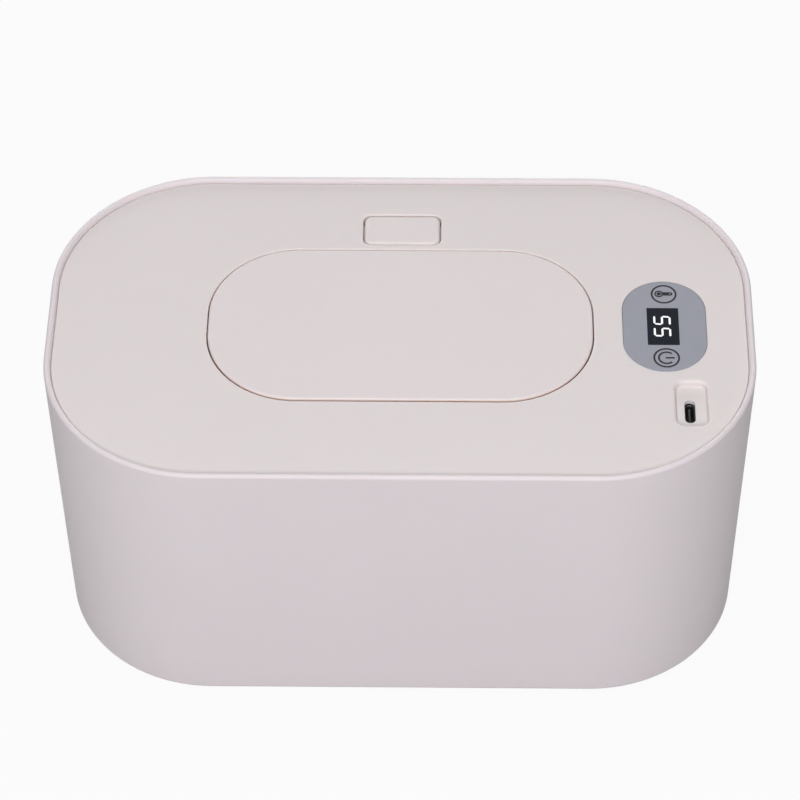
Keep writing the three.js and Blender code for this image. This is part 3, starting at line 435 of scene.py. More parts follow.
panelGrey = polycarbonateFilm("polycarbonate_film_matt", {
    "tones": ("#9c9da9", "#9597a2"), "roughness": 0.5, "grain": 0.25, "drift": 8, "bump": 0.3})
panelInk = polycarbonateFilm("ink_screen_printed", {
    "tones": ("#050609", "#08090d"), "roughness": 0.45, "grain": 0.2, "drift": 2, "bump": 0.2})
windowTint = polycarbonateFilm("polycarbonate_tinted_window", {
    "tones": ("#191c26", "#1e222c"), "roughness": 0.22, "grain": 0.5, "drift": 6, "bump": 0.03})


@materialFrom
def litSegment(tree, spot, look):
    # A lit segment seen through the tinted window: white light with a slightly uneven level
    colour = blend(tree, noise(tree, spot, look["drift"], detail=1.0), *look["tones"])
    return {
        "Base Color": colour, "Emission Color": colour, "Emission Strength": look["strength"],
        "Roughness": 0.4, "IOR": 1.5,
    }


whiteSegment = litSegment("LED_segment_lit", {"tones": ("#f4f6f4", "#e6ebe8"), "drift": 3, "strength": 0.35})


@materialFrom
def copperFoil(tree, spot, look):
    # Polyimide film over an etched heater track: amber plastic with the track's bands showing through
    bands = addNode(tree, "TexWave", {
        "Vector": spot, "Scale": perMetre(look["pitch"]) / math.tau, "Distortion": 0.0},
        wave_type="BANDS", bands_direction="Y", wave_profile="SIN")
    edge = spread(tree, bands.outputs["Fac"], (0.45, 0.55), (0.0, 1.0))
    return {
        "Base Color": blend(tree, edge, *look["tones"]), "Roughness": 0.28,
        "Normal": relief(tree, edge, strength=0.4, depth=0.05), "IOR": 1.7,
    }


heaterFoil = copperFoil("polyimide_laminated_heater", {"tones": ("#b5792c", "#8f5a22"), "pitch": 6})


@materialFrom
def solderMask(tree, spot, look):
    # Glass-epoxy board under green solder mask: copper tracks stand up a little and read lighter
    cells = addNode(tree, "TexBrick", {
        "Vector": spot, "Color1": linearColor(look["tones"][0]), "Color2": linearColor(look["tones"][1]),
        "Mortar": linearColor(look["track"]), "Scale": perMetre(look["pitch"]), "Mortar Size": 0.02,
        "Mortar Smooth": 0.1, "Bias": 0.0, "Brick Width": 0.7, "Row Height": 0.25})
    return {
        "Base Color": cells.outputs["Color"], "Roughness": 0.35,
        "Normal": relief(tree, cells.outputs["Fac"], strength=0.4, depth=0.04), "IOR": 1.55,
    }


boardGreen = solderMask("glass_epoxy_solder_mask", {
    "tones": ("#1f5c3d", "#1c5539"), "track": "#3f8560", "pitch": 8})
print("films and board finishes made")

# Tub: the outer shell with its bevelled rim, the liner that holds the wipes, and the feet
tub = {
    "radius": 49.7, "draft": 2.5, "wall": 2.2, "floor": 2.5, "rimRound": 1.05, "baseRound": 2.0,
    "innerRound": 3.0, "crest": 0.25, "ribReach": 4.85, "ribThickness": 1.8, "ribSpacing": 34.0,
    "ribCount": 4, "rimSlope": ((0.65, 0.25), (0.28, 0.7)), "toeOut": 0.08, "toeUp": 0.1,
}
cornerSteps = 36
shellBox = boxOf("outer_shell")
coverBox = boxOf("cover_panel")
bodySize = {**shellBox, "radius": tub["radius"]}
rimTop = shellBox["top"]
coverTop = coverBox["top"]
feet = boxesOf("rubber_foot", 4)
linerBox = boxOf("inner_liner")
liner = {"wall": 1.5, "flange": 2.0, "top": 7.35, "draft": 2.0, "round": 6.0, "edge": 0.5}


def lean(z):
    # how far the tub's wall has drawn in at a height
    return tub["draft"] * (rimTop - z) / (rimTop - shellBox["low"])


def makeRib(reach, turn):
    # upright rib that leans with its wall, and is turned to one of the four walls
    inner = reach - tub["wall"] - tub["ribReach"]
    half = tub["ribThickness"] / 2
    rings = []
    for z in (shellBox["low"] + tub["floor"] - weld, linerBox["top"] - liner["flange"] - gap):
        outer = reach - tub["wall"] - lean(z) + weld
        corners = ((-half, inner), (half, inner), (half, outer), (-half, outer))
        rings.append([(*turn(across, out), z) for across, out in corners])
    return skin(rings)


def makeShell():
    low = shellBox["low"]
    wall, base, rim, inner = (tub[key] for key in ("wall", "baseRound", "rimRound", "innerRound"))
    bend = low + tub["floor"] + inner
    profile = [
        *arc(tub["draft"] + base, low + base, base, -1, 0),
        *arc(rim, rimTop - rim, rim, 0, 1, 8),
        *[(wall - out, rimTop - down) for out, down in tub["rimSlope"]],
        (wall - tub["toeOut"], coverTop + tub["toeUp"]),
        (wall, coverTop - tub["crest"]),
        (wall + lean(bend), bend),
        *arc(wall + tub["draft"] + inner, bend, inner, 0, -1)[1:],
    ]
    ribs = []
    for side in (-1, 1):
        ribs.append(makeRib(shellBox["length"] / 2, lambda across, out: (side * out, across)))
        for k in range(tub["ribCount"]):
            x = tub["ribSpacing"] * (k - (tub["ribCount"] - 1) / 2)
            ribs.append(makeRib(shellBox["width"] / 2, lambda across, out: (x + across, side * out)))
    recesses = [post(foot, foot["length"] / 2 + gap, low - past, foot["top"] + gap, 48) for foot in feet]
    return combine([formed(bodySize, profile, steps=cornerSteps), *ribs], recesses)


place(makeShell(), "shell_moulding", "tub", absShell, "shell_abs", "outer_shell")


def makeLiner():
    low, top, wall, edge = linerBox["low"], linerBox["top"], liner["wall"], liner["edge"]
    base = liner["top"] + liner["draft"] + liner["round"]
    under = top - liner["flange"]
    outer = (shellBox["length"] - linerBox["length"]) / 2 + edge
    inner = liner["round"] - wall
    return formed(bodySize, [
        *arc(base, low + liner["round"], liner["round"], -1, 0),
        (liner["top"], under),
        *arc(outer, under + edge, edge, -1, 0, 3),
        *arc(outer, top - edge, edge, 0, 1, 3),
        *arc(liner["top"] + wall - edge, top - edge, edge, 1, 2, 4),
        *arc(base, low + wall + inner, inner, 0, -1, 8),
    ], steps=cornerSteps)


place(makeLiner(), "liner_moulding", "tub", polypropylene, "inner_pp", "inner_liner")

footLook = {"edge": 0.6, "dish": 0.35, "dishRadius": 4.2, "dishEdge": 0.6}
for k, foot in enumerate(feet):
    radius = foot["length"] / 2
    edge = footLook["edge"]
    profile = [
        (footLook["dishRadius"] - footLook["dishEdge"], footLook["dish"]),
        (footLook["dishRadius"], 0.0),
        *[(radius - inset, z) for inset, z in arc(edge, edge, edge, -1, 0, 4)],
        (radius, foot["top"]),
    ]
    place(turned(profile, foot, 48), f"foot_pad_{k + 1}", "tub", footRubber,
          "foot_rubber", f"rubber_foot_{k + 1}")
print("tub made")

# Cover: the top plate with the lid's well, the button's pocket, the panel recess and the inlet
cover = {
    "plate": 2.0, "edge": 0.4, "skirtWall": 1.8, "wellDepth": 12.5, "wellWall": 1.8, "wellFloor": 1.8,
    "openingEdge": 0.45, "wellFillet": 1.5, "seam": 0.06, "filmRecess": 0.8, "displayRecess": 0.7,
    "throatEdge": 0.5, "boardSeat": 0.7,
}
skirtBase = coverBox["low"]
coverInset = tub["wall"] + cover["seam"]
skirtInset = coverInset + cover["skirtWall"]
coverUnder = coverTop - cover["plate"]
hang = coverUnder + weld
wellTop = coverTop - cover["wellDepth"]
wellUnder = wellTop - cover["wellFloor"]
lidBox = boxOf("lid")
lid = {
    "length": lidBox["length"], "width": 65.0, "radius": 28.2, "x": 0.0, "thickness": 1.8, "edge": 0.75,
    "undercut": 0.75, "ringWall": 2.0, "ringEdge": 0.4, "ribThickness": 1.2, "ribDepth": 2.5,
    "ribSpacing": 24.0, "ribEdge": 0.25, "sideGap": 0.28, "frontGap": 0.8, "backGap": 0.16,
}
lid["y"] = lidBox["back"] - lid["width"] / 2


def openingRound(piece, corner):
    # the outline of the opening that leaves a piece its gaps
    return {
        "length": piece["length"] + piece["sideGap"] * 2,
        "width": piece["width"] + piece["frontGap"] + piece["backGap"],
        "radius": piece["radius"] + corner,
        "x": piece["x"], "y": piece["y"] + (piece["backGap"] - piece["frontGap"]) / 2,
    }


lidOpening = openingRound(lid, lid["sideGap"])
wellFront = lidOpening["y"] - lidOpening["width"] / 2
gasketBox = boxOf("lid_gasket")
centre = {"x": gasketBox["x"], "y": gasketBox["y"]}
lip = {**centre, "length": 90.3, "width": 44.0, "radius": 22.0, "wall": 2.0, "height": 2.6, "edge": 0.6}
throat = {**centre, "length": 80.3, "width": 34.0, "radius": 17.0}

buttonBox = boxOf("release_button")
boltBox = boxOf("latch_bolt")
button = {
    "length": 24.2, "width": 13.0, "radius": 2.6, "x": 0.0, "y": buttonBox["y"], "edge": 1.3, "cap": 2.0,
    "wall": 1.5, "depth": 4.7, "flange": 1.4, "flangeHeight": 1.5, "sideGap": 0.36, "frontGap": 0.36,
    "backGap": 0.16, "pocketGap": 0.6, "pocketWall": 1.5, "peg": 1.3, "pegLength": 1.5,
}
buttonOpening = openingRound(button, button["backGap"])
pocketHalf = button["length"] / 2 + button["flange"] + button["pocketGap"]
pocketFront = button["y"] - button["width"] / 2 - button["frontGap"]
pocketBack = button["y"] + button["width"] / 2 + button["backGap"]
pocketOuter = pocketBack + button["pocketWall"]

filmBox = boxOf("control_film")
film = {**filmBox, "radius": 12.75, "sideGap": 0.15, "frontGap": 0.15, "backGap": 0.15}
filmRecess = openingRound(film, film["sideGap"])
displayBox = boxOf("display_module")
socketBox = boxOf("usb_socket")
port = {
    "length": 9.6, "width": 17.9, "radius": 2.6, "depth": 2.1, "floor": 1.6, "edge": 1.15, "fillet": 0.7,
    "x": socketBox["x"] + 0.5, "y": socketBox["y"] + 1.65,
}
portSlot = {**socketBox, "length": 3.3, "width": 9.5, "radius": 1.6}
portFloor = coverTop - port["depth"]

pinBox = boxOf("hinge_pin")
pin = {"y": pinBox["y"], "z": (pinBox["low"] + pinBox["top"]) / 2, "radius": 1.0, "clear": 0.1, "edge": 0.2}
arm = {
    "x": 18.4, "thickness": 2.0, "gap": 0.5, "eye": 2.2, "depth": 7.0, "base": 1.5, "stem": 2.3,
    "clear": 7.1, "waist": 1.75, "taper": 0.45,
}
ear = {"thickness": 2.0, "radius": 2.6}
screws = {kind: boxesOf(f"{kind}_screw", count)
          for kind, count in (("cover", 6), ("plate", 4), ("board", 3), ("bracket", 2))}
boss = {"radius": 3.3, "hole": 1.5}


def pinBar(radius, edge=0.0):
    # bar on the hinge's line, as long as the pin, whose ends are chamfered by edge
    left, right = pinBox["left"], pinBox["right"]
    stations = [(left, radius - edge), (left + edge, radius), (right - edge, radius), (right, radius - edge)]
    if not edge:
        stations = [stations[0], stations[3]]
    return skin([[(x, *point) for point in circle(pin["y"], pin["z"], r, 32)] for x, r in stations])


def openingCutter(size, edge, low, top, fillet=0.0, steps=24):
    # cutter whose upper edge flares, so that the opening's edge comes out rounded
    foot = arc(fillet, low + fillet, fillet, -1, 0, 4) if fillet else [(0.0, low)]
    return formed(size, [*foot, *arc(-edge, top - edge, edge, 2, 1, 5), (-edge, top + past)], steps=steps)


def makeEar(left):
    wallFace = wellFront - weld
    points = [
        (wallFace, hang), (pin["y"] - ear["radius"], hang),
        *around(pin["y"], pin["z"], ear["radius"], 2, 3, 12), (wallFace, pin["z"] - ear["radius"]),
    ]
    return alongX(points, left, left + ear["thickness"])


def makeLipRing():
    edge, wall, top = lip["edge"], lip["wall"], wellTop + lip["height"]
    return formed(lip, [
        (0.0, wellTop - weld), *arc(edge, top - edge, edge, 0, 1, 4),
        *arc(wall - edge, top - edge, edge, 1, 2, 4), (wall, wellTop), (wall, wellTop - weld),
    ], closed=True, steps=24)


def makeBlank():
    # the cover's walls, joined before anything but the well is cut
    edge, fillet = cover["edge"], cover["wellFillet"]
    plate = formed(bodySize, [
        (skirtInset, coverUnder),
        (skirtInset + lean(skirtBase), skirtBase),
        (coverInset + lean(skirtBase), skirtBase),
        *arc(coverInset + edge, coverTop - edge, edge, 0, 1, 8),
    ], steps=cornerSteps)
    well = formed(lidOpening, [
        *arc(fillet - cover["wellWall"], wellUnder + fillet, fillet, -1, 0, 4),
        (-cover["wellWall"], hang),
    ], steps=24)
    half = pocketHalf + button["pocketWall"]
    pocket = block(-half, half, pocketFront - cover["wellWall"], pocketOuter, boltBox["low"], hang)
    cup = formed(port, [
        (port["fillet"] - port["floor"], portFloor - port["floor"]),
        (-port["floor"], portFloor + port["fillet"] - port["floor"]),
        (-port["floor"], hang),
    ], steps=10)
    earX = arm["x"] + arm["thickness"] / 2 + arm["gap"]
    bossLow = {
        "cover": wellUnder, "bracket": boltBox["low"],
        "board": boxOf("control_board")["top"] - cover["boardSeat"],
    }
    bosses = [post(at, boss["radius"], low, hang) for kind, low in bossLow.items() for at in screws[kind]]
    return combine([plate, well, pocket, cup, makeEar(earX), makeEar(-earX - ear["thickness"]), *bosses],
                   [openingCutter(lidOpening, cover["openingEdge"], wellTop, coverTop, fillet, 32)])


def makeCover():
    blank = makeBlank()
    slotHalf = arm["thickness"] / 2 + arm["gap"]
    armSlots = [
        block(x - slotHalf, x + slotHalf, wellFront - cover["wellWall"] - past, wellFront + past,
              wellTop, coverUnder)
        for x in (-arm["x"], arm["x"])
    ]
    boltHalf = boltBox["length"] / 2 + gap
    boltSlot = block(-boltHalf, boltHalf, lidBox["back"] - past, pocketOuter + past,
                     boltBox["low"] - gap, boltBox["top"] + gap)
    pocketHollow = block(-pocketHalf, pocketHalf, pocketFront, pocketBack, boltBox["low"] - past, coverUnder)
    displayHollow = block(displayBox["left"] - gap, displayBox["right"] + gap, displayBox["front"] - gap,
                          displayBox["back"] + gap, coverUnder - past, coverTop - cover["displayRecess"])
    edge = cover["throatEdge"]
    throatCut = formed(throat, [
        (0.0, wellUnder - past), (0.0, wellTop - edge), (-edge, wellTop), (-edge, wellTop + weld),
    ], steps=24)
    holes = [
        post(at, boss["hole"], at["low"], at["top"] + gap)
        for kind in ("cover", "board", "bracket") for at in screws[kind]
    ]
    return combine([blank, makeLipRing()], [
        openingCutter(buttonOpening, cover["openingEdge"], coverUnder - past, coverTop, 0, 10),
        pocketHollow, boltSlot, slab(filmRecess, coverTop - cover["filmRecess"], coverTop + past, steps=24),
        displayHollow, openingCutter(port, port["edge"], portFloor, coverTop, port["fillet"], 12),
        slab(portSlot, portFloor - port["floor"] - past, portFloor + past),
        throatCut, *armSlots, pinBar(pin["radius"] + pin["clear"]), *holes,
    ])


place(makeCover(), "cover_moulding", "cover", absCover, "cover_abs", "cover_panel")
print("cover made")


def fromPin(ahead, up, radius, start, end, steps):
    # quarter turns in the hinge's own Y and Z, measured from the pin
    return around(pin["y"] + ahead, pin["z"] + up, radius, start, end, steps)


def makeArm(x, top):
    # curved arm that hangs from the lid, passes under the cover and ends in an eye round the pin
    corner = arm["stem"]
    back = arm["clear"] + corner
    innerRadius = arm["base"] / 2
    innerUp = arm["base"] - arm["depth"] + innerRadius
    points = [
        (pin["y"] + back, top),
        *fromPin(back - corner, corner - arm["depth"], corner, 0, -1, 10),
        *fromPin(corner - arm["eye"], corner - arm["depth"], corner, -1, -2, 10),
        *fromPin(0, 0, arm["eye"], 2, -arm["taper"], 28),
        *fromPin(arm["waist"] + innerRadius, innerUp, innerRadius, -2, -1, 8),
        *fromPin(arm["clear"] - innerRadius, innerUp, innerRadius, -1, 0, 8),
        (pin["y"] + arm["clear"], top),
    ]
    return alongX(points, x - arm["thickness"] / 2, x + arm["thickness"] / 2)


# The catch on the lid that the bolt holds, with a sloped face that the bolt slides over
catch = {"ahead": 0.6, "slope": 0.5, "thickness": 2.0, "height": 1.0, "edge": 0.2, "half": 3.0}


def makeCatch(top):
    edge = catch["edge"]
    tip = boltBox["front"] - catch["ahead"]
    face = tip - catch["slope"]
    back = face - catch["thickness"]
    high = boltBox["low"] - gap
    low = high - catch["height"]
    points = [
        (back, top), (back, low + edge), (back + edge, low), (tip - edge, low), (tip, low + edge),
        (tip, high - catch["slope"]), (face, high), (face, top),
    ]
    return alongX(points, -catch["half"], catch["half"])


def makeLid():
    edge, undercut = lid["edge"], lid["undercut"]
    under = coverTop - lid["thickness"]
    top = under + weld
    plate = formed(lid, [
        (undercut, under), (undercut / 4, under + undercut / 2), (0.0, under + lid["thickness"] / 2),
        *arc(edge, coverTop - edge, edge, 0, 1, 8),
    ], steps=32)
    low = gasketBox["top"] + gap
    wall, bevel = lid["ringWall"], lid["ringEdge"]
    ring = formed(lip, [
        (0.0, top), (0.0, low + bevel), (bevel, low), (wall - bevel, low), (wall, low + bevel), (wall, top),
    ], closed=True, steps=24)
    reach = lip["width"] / 2 - wall / 2
    half = lid["ribThickness"] / 2
    ribs = [
        block(x - half, x + half, lip["y"] - reach, lip["y"] + reach,
              under - lid["ribDepth"], top, lid["ribEdge"])
        for x in (-lid["ribSpacing"], 0, lid["ribSpacing"])
    ]
    arms = [makeArm(x, top) for x in (-arm["x"], arm["x"])]
    return combine([plate, ring, *ribs, *arms, makeCatch(top)], [pinBar(pin["radius"] + pin["clear"])])


place(makeLid(), "lid_moulding", "lid", absLid, "cover_abs", "lid")


def makeRing(size, outer, width, box, bead):
    # closed ring with a rounded lower edge, as high as its box
    inner, low, top = outer + width, box["low"] + bead, box["top"]
    return formed(size, [
        (outer, top), (outer, low), *arc(outer + bead, low, bead, 0, -1, 4)[1:],
        *arc(inner - bead, low, bead, 3, 2, 4), (inner, low), (inner, top),
    ], closed=True, steps=24)


gasket = {"width": 2.6, "bead": 0.9}
place(makeRing(lip, (lip["wall"] - gasket["width"]) / 2, gasket["width"], gasketBox, gasket["bead"]),
      "lid_seal_ring", "lid", siliconeSoft, "silicone", "lid_gasket")
print("lid made")

# The button's wedge, which drives the bolt
wedge = {"ahead": 3.45, "flat": 2.4, "reach": 5.8, "rise": 3.4, "half": 1.6, "lift": 0.4}


def makeWedge(top):
    front = button["y"] - wedge["ahead"]
    back = front + wedge["reach"]
    low = boltBox["low"] + wedge["lift"]
    points = [
        (front, top), (front, low), (front + wedge["flat"], low), (back, low + wedge["rise"]), (back, top),
    ]
    return alongX(points, -wedge["half"], wedge["half"])


def makeButton():
    under = coverTop - button["cap"]
    low = coverTop - button["depth"]
    edge, wall = button["edge"], button["wall"]
    body = formed(button, [
        (wall, under), (wall, low), (0.0, low), *arc(edge, coverTop - edge, edge, 0, 1, 9),
    ], steps=12)
    flangeTop = coverUnder - gap
    half = button["width"] / 2 - button["radius"]
    flanges = []
    for side in (-1, 1):
        ends = sorted(side * (button["length"] / 2 + e) for e in (-wall / 2, button["flange"]))
        flanges.append(block(*ends, button["y"] - half, button["y"] + half,
                             flangeTop - button["flangeHeight"], flangeTop))
    top = under + weld
    seats = [{**spring, "y": button["y"]} for spring in boxesOf("button_spring", 2)]
    pegs = posts(seats, button["peg"], under - button["pegLength"], top)
    return combine([body, *flanges, makeWedge(top), *pegs])


place(makeButton(), "button_cap", "button", absButton, "cover_abs", "release_button")
print("button made")

# Control panel: the film in its recess, the tinted window, the lit numbers and the touch marks
panel = {"edge": 0.12, "print": 0.03}
filmTop = filmBox["top"]
printLow = filmTop - panel["print"]
printTop = filmTop + panel["print"] * 2
filmEdge = arc(panel["edge"], filmTop - panel["edge"], panel["edge"], 0, 1, 3)
place(formed(film, [(0.0, filmBox["low"]), *filmEdge], steps=24),
      "panel_film", "cover", panelGrey, "panel_film", "control_film")
window = {"length": 9.9, "width": 16.0, "radius": 0.25, "x": 81.85, "y": -0.1}
place(slab(window, printLow, filmTop + panel["print"], steps=4),
      "panel_window", "cover", windowTint, "display")


def flatMark(outer, inner=None):
    # thin printed mark from one outline, or the band between two
    if inner is None:
        return skin([[(*point, z) for point in outer] for z in (printLow, printTop)])
    sides = ((outer, printLow), (outer, printTop), (inner, printTop), (inner, printLow))
    return skin([[(*point, z) for point in points] for points, z in sides], closed=True)


def ringMark(at):
    return flatMark(*(circle(at["x"], at["y"], radius) for radius in (at["ring"], at["ring"] - at["line"])))


def barMark(left, right, y, line):
    low, high = y - line / 2, y + line / 2
    return flatMark([(left, low), (right, low), (right, high), (left, high)])


thermometer = {
    "x": 82.5, "y": 14.0, "ring": 4.04, "line": 0.56, "bulbX": 81.0, "bulbY": 14.15, "bulb": 1.4,
    "core": 0.68, "outline": 0.45, "tubeEnd": 85.3, "tube": 1.4, "stem": 2.5, "stemGap": 0.05,
    "stemLine": 0.32,
}
power = {
    "x": 82.5, "y": -13.6, "ring": 4.12, "line": 0.56, "arc": 2.4, "opening": 0.13, "barFrom": 82.2,
    "barTo": 85.0,
}


def thermometerOutline(grow):
    # bulb with a tube towards +X, drawn as one outline grown by an amount
    t = thermometer
    bulb, half = t["bulb"] + grow, t["tube"] / 2 + grow
    meet = math.asin(half / bulb) / (math.pi / 2)
    return [*around(t["bulbX"], t["bulbY"], bulb, meet, 4 - meet, 32),
            *around(t["tubeEnd"] - t["tube"] / 2, t["bulbY"], half, -1, 1, 15)]


def makePowerArc():
    # open ring of the power mark, from one side of its opening to the other
    ends = (4 * power["opening"], 4 - 4 * power["opening"], 36)
    outer, inner = (around(power["x"], power["y"], power["arc"] + side * power["line"] / 2, *ends)
                    for side in (1, -1))
    rings = [[(*o, printLow), (*o, printTop), (*i, printTop), (*i, printLow)] for o, i in zip(outer, inner)]
    return skin(rings)


def makeMarks():
    t, p = thermometer, power
    stem = t["bulbX"] + t["core"] + t["stemGap"]
    return together([
        ringMark(t),
        flatMark(thermometerOutline(0.0), thermometerOutline(-t["outline"])),
        flatMark(circle(t["bulbX"], t["bulbY"], t["core"], 24)),
        ringMark(p),
        makePowerArc(),
        barMark(p["barFrom"], p["barTo"], p["y"], p["line"]),
        barMark(stem, stem + t["stem"], t["bulbY"], t["stemLine"]),
    ])


place(makeMarks(), "panel_marks", "cover", panelInk, "panel_film")

# Seven-segment fives that read towards -Y, with their tops towards +X
digit = {"foot": 78.9, "height": 5.4, "width": 4.0, "bar": 0.63, "slant": 0.09, "space": 0.08,
         "starts": (4.75, -0.35)}


def hexagon(start, end, level):
    # a segment's outline, pointed at both ends of a line at a level
    half = digit["bar"] / 2
    return [(start, level), (start + half, level + half), (end - half, level + half), (end, level),
            (end - half, level - half), (start + half, level - half)]


def segmentOutlines():
    half, space, middle = digit["bar"] / 2, digit["space"], digit["height"] / 2
    right, top = digit["width"] - half, digit["height"] - half
    across = [hexagon(half + space, right - space, level) for level in (top, middle, half)]
    upright = [[(u, v) for v, u in hexagon(low + space, high - space, level)]
               for low, high, level in ((middle, top, half), (half, middle, right))]
    return [across[0], upright[0], across[1], upright[1], across[2]]


def makeDigits():
    return together([
        flatMark([(digit["foot"] + v, start - u - digit["slant"] * v) for u, v in outline])
        for start in digit["starts"] for outline in segmentOutlines()
    ])


place(makeDigits(), "panel_numbers", "cover", whiteSegment, "display")
print("panel made")

# Power inlet: a drawn metal shell with a contact tongue inside
socket = {**socketBox, "radius": 1.63, "wall": 0.3, "depth": 5.0, "edge": 0.1}
tongue = {**socketBox, "length": 0.7, "width": 6.7, "radius": 0.12, "height": 4.4}
contact = {"count": 8, "pitch": 0.72, "half": 0.16, "sunk": 0.02, "proud": 0.05, "foot": 0.3, "short": 0.5}
socketFloor = socket["top"] - socket["depth"]
tongueTop = socketFloor + tongue["height"]


def makeSocket():
    top, edge, wall = socket["top"], socket["edge"], socket["wall"]
    return formed(socket, [
        (0.0, socket["low"]), (0.0, top - edge), (edge, top), (wall - edge, top), (wall, top - edge),
        (wall, socketFloor),
    ], steps=12)


def makeContacts():
    contacts = []
    for side in (-1, 1):
        edge = tongue["x"] + side * tongue["length"] / 2
        ends = sorted((edge - side * contact["sunk"], edge + side * contact["proud"]))
        for k in range(contact["count"]):
            y = tongue["y"] + (k - (contact["count"] - 1) / 2) * contact["pitch"]
            contacts.append(block(*ends, y - contact["half"], y + contact["half"],
                                  socketFloor + contact["foot"], tongueTop - contact["short"]))
    return together(contacts)


place(makeSocket(), "inlet_shell", "cover", steelBlack, "steel", "usb_socket")
place(softSlab(tongue, socketFloor, tongueTop, tongue["radius"], 3),
      "inlet_tongue", "cover", tongueGrey, "display")
place(makeContacts(), "inlet_contacts", "cover", brassGold, "steel")
print("inlet made")

# Inner cover, heater and seal, which show from below when the cover is lifted
innerBox = boxOf("inner_cover")
heaterBox = boxOf("heater_plate")
heaterFilmBox = boxOf("heater_film")
sealBox = boxOf("cover_seal")
inner = {
    "plate": 1.8, "edge": 0.4, "collarWall": 1.5, "collarDepth": 1.6, "collarEdge": 0.3, "collarGap": 0.5,
    "holeDrop": 0.5,
}
leadWindow = {"length": 8.4, "width": 24.0, "radius": smallestRadius, "x": 68.5, "y": 2.0}
innerUnder = innerBox["low"] + inner["collarDepth"]
innerTop = innerUnder + inner["plate"]


def insetOf(box):
    # how far a piece that follows the tub's outline lies inside it
    return (shellBox["length"] - box["length"]) / 2


def makeInnerCover():
    low, edge, wall, bevel = innerBox["low"], inner["edge"], inner["collarWall"], inner["collarEdge"]
    under, above = innerUnder - past, innerTop + past
    plate = softSlab(bodySize, innerUnder, innerTop, edge, cornerSteps, insetOf(innerBox))
    collar = formed(throat, [
        (-wall, innerUnder + weld), *arc(edge - wall, low + edge, edge, 0, -1, 3),
        (-bevel, low), (0.0, low + bevel), (0.0, innerUnder + weld),
    ], closed=True, steps=24)
    cuts = [
        slab(throat, innerUnder - inner["holeDrop"], above, steps=24),
        slab(leadWindow, under, above, steps=1),
        *posts(screws["cover"], boss["hole"], under, above),
        *[post(at, boss["hole"], under, at["top"] + gap) for at in screws["plate"]],
    ]
    bosses = posts(screws["plate"], boss["radius"], innerTop - weld, innerBox["top"])
    return combine([combine([plate, *bosses], cuts), collar])


place(makeInnerCover(), "inner_cover_moulding", "cover", polypropylene, "inner_pp", "inner_cover")
seal = {"width": 2.0, "bead": 0.7}
place(makeRing(bodySize, insetOf(sealBox), seal["width"], sealBox, seal["bead"]),
      "cover_seal_ring", "cover", siliconeSoft, "silicone", "cover_seal")


def makeHeaterLayer(layer, look):
    low, top = layer["low"] - past, layer["top"] + past
    sheet = softSlab({**layer, "radius": look["radius"]}, layer["low"], layer["top"], look["edge"], 24)
    slot = slab(throat, low, top, -inner["collarWall"] - inner["collarGap"] * look["gaps"], 24)
    return combine([sheet], [slot, *posts(screws["plate"], look["hole"], low, top)])


heaterLook = {"radius": 30.0, "gaps": 1, "hole": boss["hole"], "edge": 0.2}
laminateLook = {"radius": 27.0, "gaps": 4, "hole": boss["radius"], "edge": 0.08}
place(makeHeaterLayer(heaterBox, heaterLook),
      "heater_sheet", "cover", aluminiumSheet, "aluminium", "heater_plate")
place(makeHeaterLayer(heaterFilmBox, laminateLook),
      "heater_laminate", "cover", heaterFoil, "heater_foil", "heater_film")
print("inner cover and heater made")

# Screws, driven upward, with domed cross heads
screw = {
    "head": 2.6, "core": 0.95, "crest": 1.2, "pitch": 0.8, "turn": 0.816, "start": 0.2, "point": 0.6,
    "cross": 0.55, "crossReach": 1.45, "crossDepth": 0.9, "domeShare": 0.6,
    "domeSteps": (0.3, 0.5, 0.7, 0.85, 0.95), "headHeight": 1.6, "smallHeadHeight": 1.2,
}


def makeScrew(at, headHeight):
    head, core, pitch = screw["head"], screw["core"], screw["pitch"]
    low, top, seat = at["low"], at["top"], at["low"] + headHeight
    domeHeight = headHeight * screw["domeShare"]
    angles = [math.pi / 2 * share for share in screw["domeSteps"]]
    profile = [*[(head * math.sin(a), low + domeHeight * (1 - math.cos(a))) for a in angles],
               (head, low + domeHeight), (head, seat), (core, seat)]
    z = seat + screw["start"]
    while z + pitch < top - screw["point"]:
        profile += [(core, z), (screw["crest"], z + pitch / 2), (core, z + pitch)]
        z += screw["turn"]
    profile += [(core, top - screw["point"]), (core / 3, top)]
    arms = ((screw["crossReach"], screw["cross"] / 2), (screw["cross"] / 2, screw["crossReach"]))
    bars = [block(at["x"] - a, at["x"] + a, at["y"] - b, at["y"] + b, low - past, low + screw["crossDepth"])
            for a, b in arms]
    return combine([turned(profile, at, 24)], [combine(bars)])


for kind, places in screws.items():
    height = screw["headHeight"] if kind == "cover" else screw["smallHeadHeight"]
    for k, at in enumerate(places):
        place(makeScrew(at, height), f"{kind}_screw_fine_{k + 1}", "cover", steelZinc, "steel",
              f"{kind}_screw_{k + 1}")
print("screws made")

# Hinge pin and the wound springs
place(pinBar(pin["radius"], pin["edge"]), "hinge_pin_fine", "cover", steelPin, "steel", "hinge_pin")
stepsPerTurn = 20


def coilPoints(spring, low, top):
    # turns of wire with a short straight tail at each end
    radius, wire = spring["radius"], spring["wire"]
    steps = spring["turns"] * stepsPerTurn
    rise = (top - low - wire) / steps
    wound = around(0, 0, radius, 0, spring["turns"] * 4, steps)
    points = [(*point, low + wire / 2 + rise * step) for step, point in enumerate(wound)]
    first, last = points[0], points[-1]
    return [(first[0], first[1] - wire, first[2]), *points, (last[0], last[1] + wire, last[2])]


def placeWire(name, points, wire):
    return place(tube(points, wire / 2), f"{name}_wire", "cover", steelWire, "steel", name)


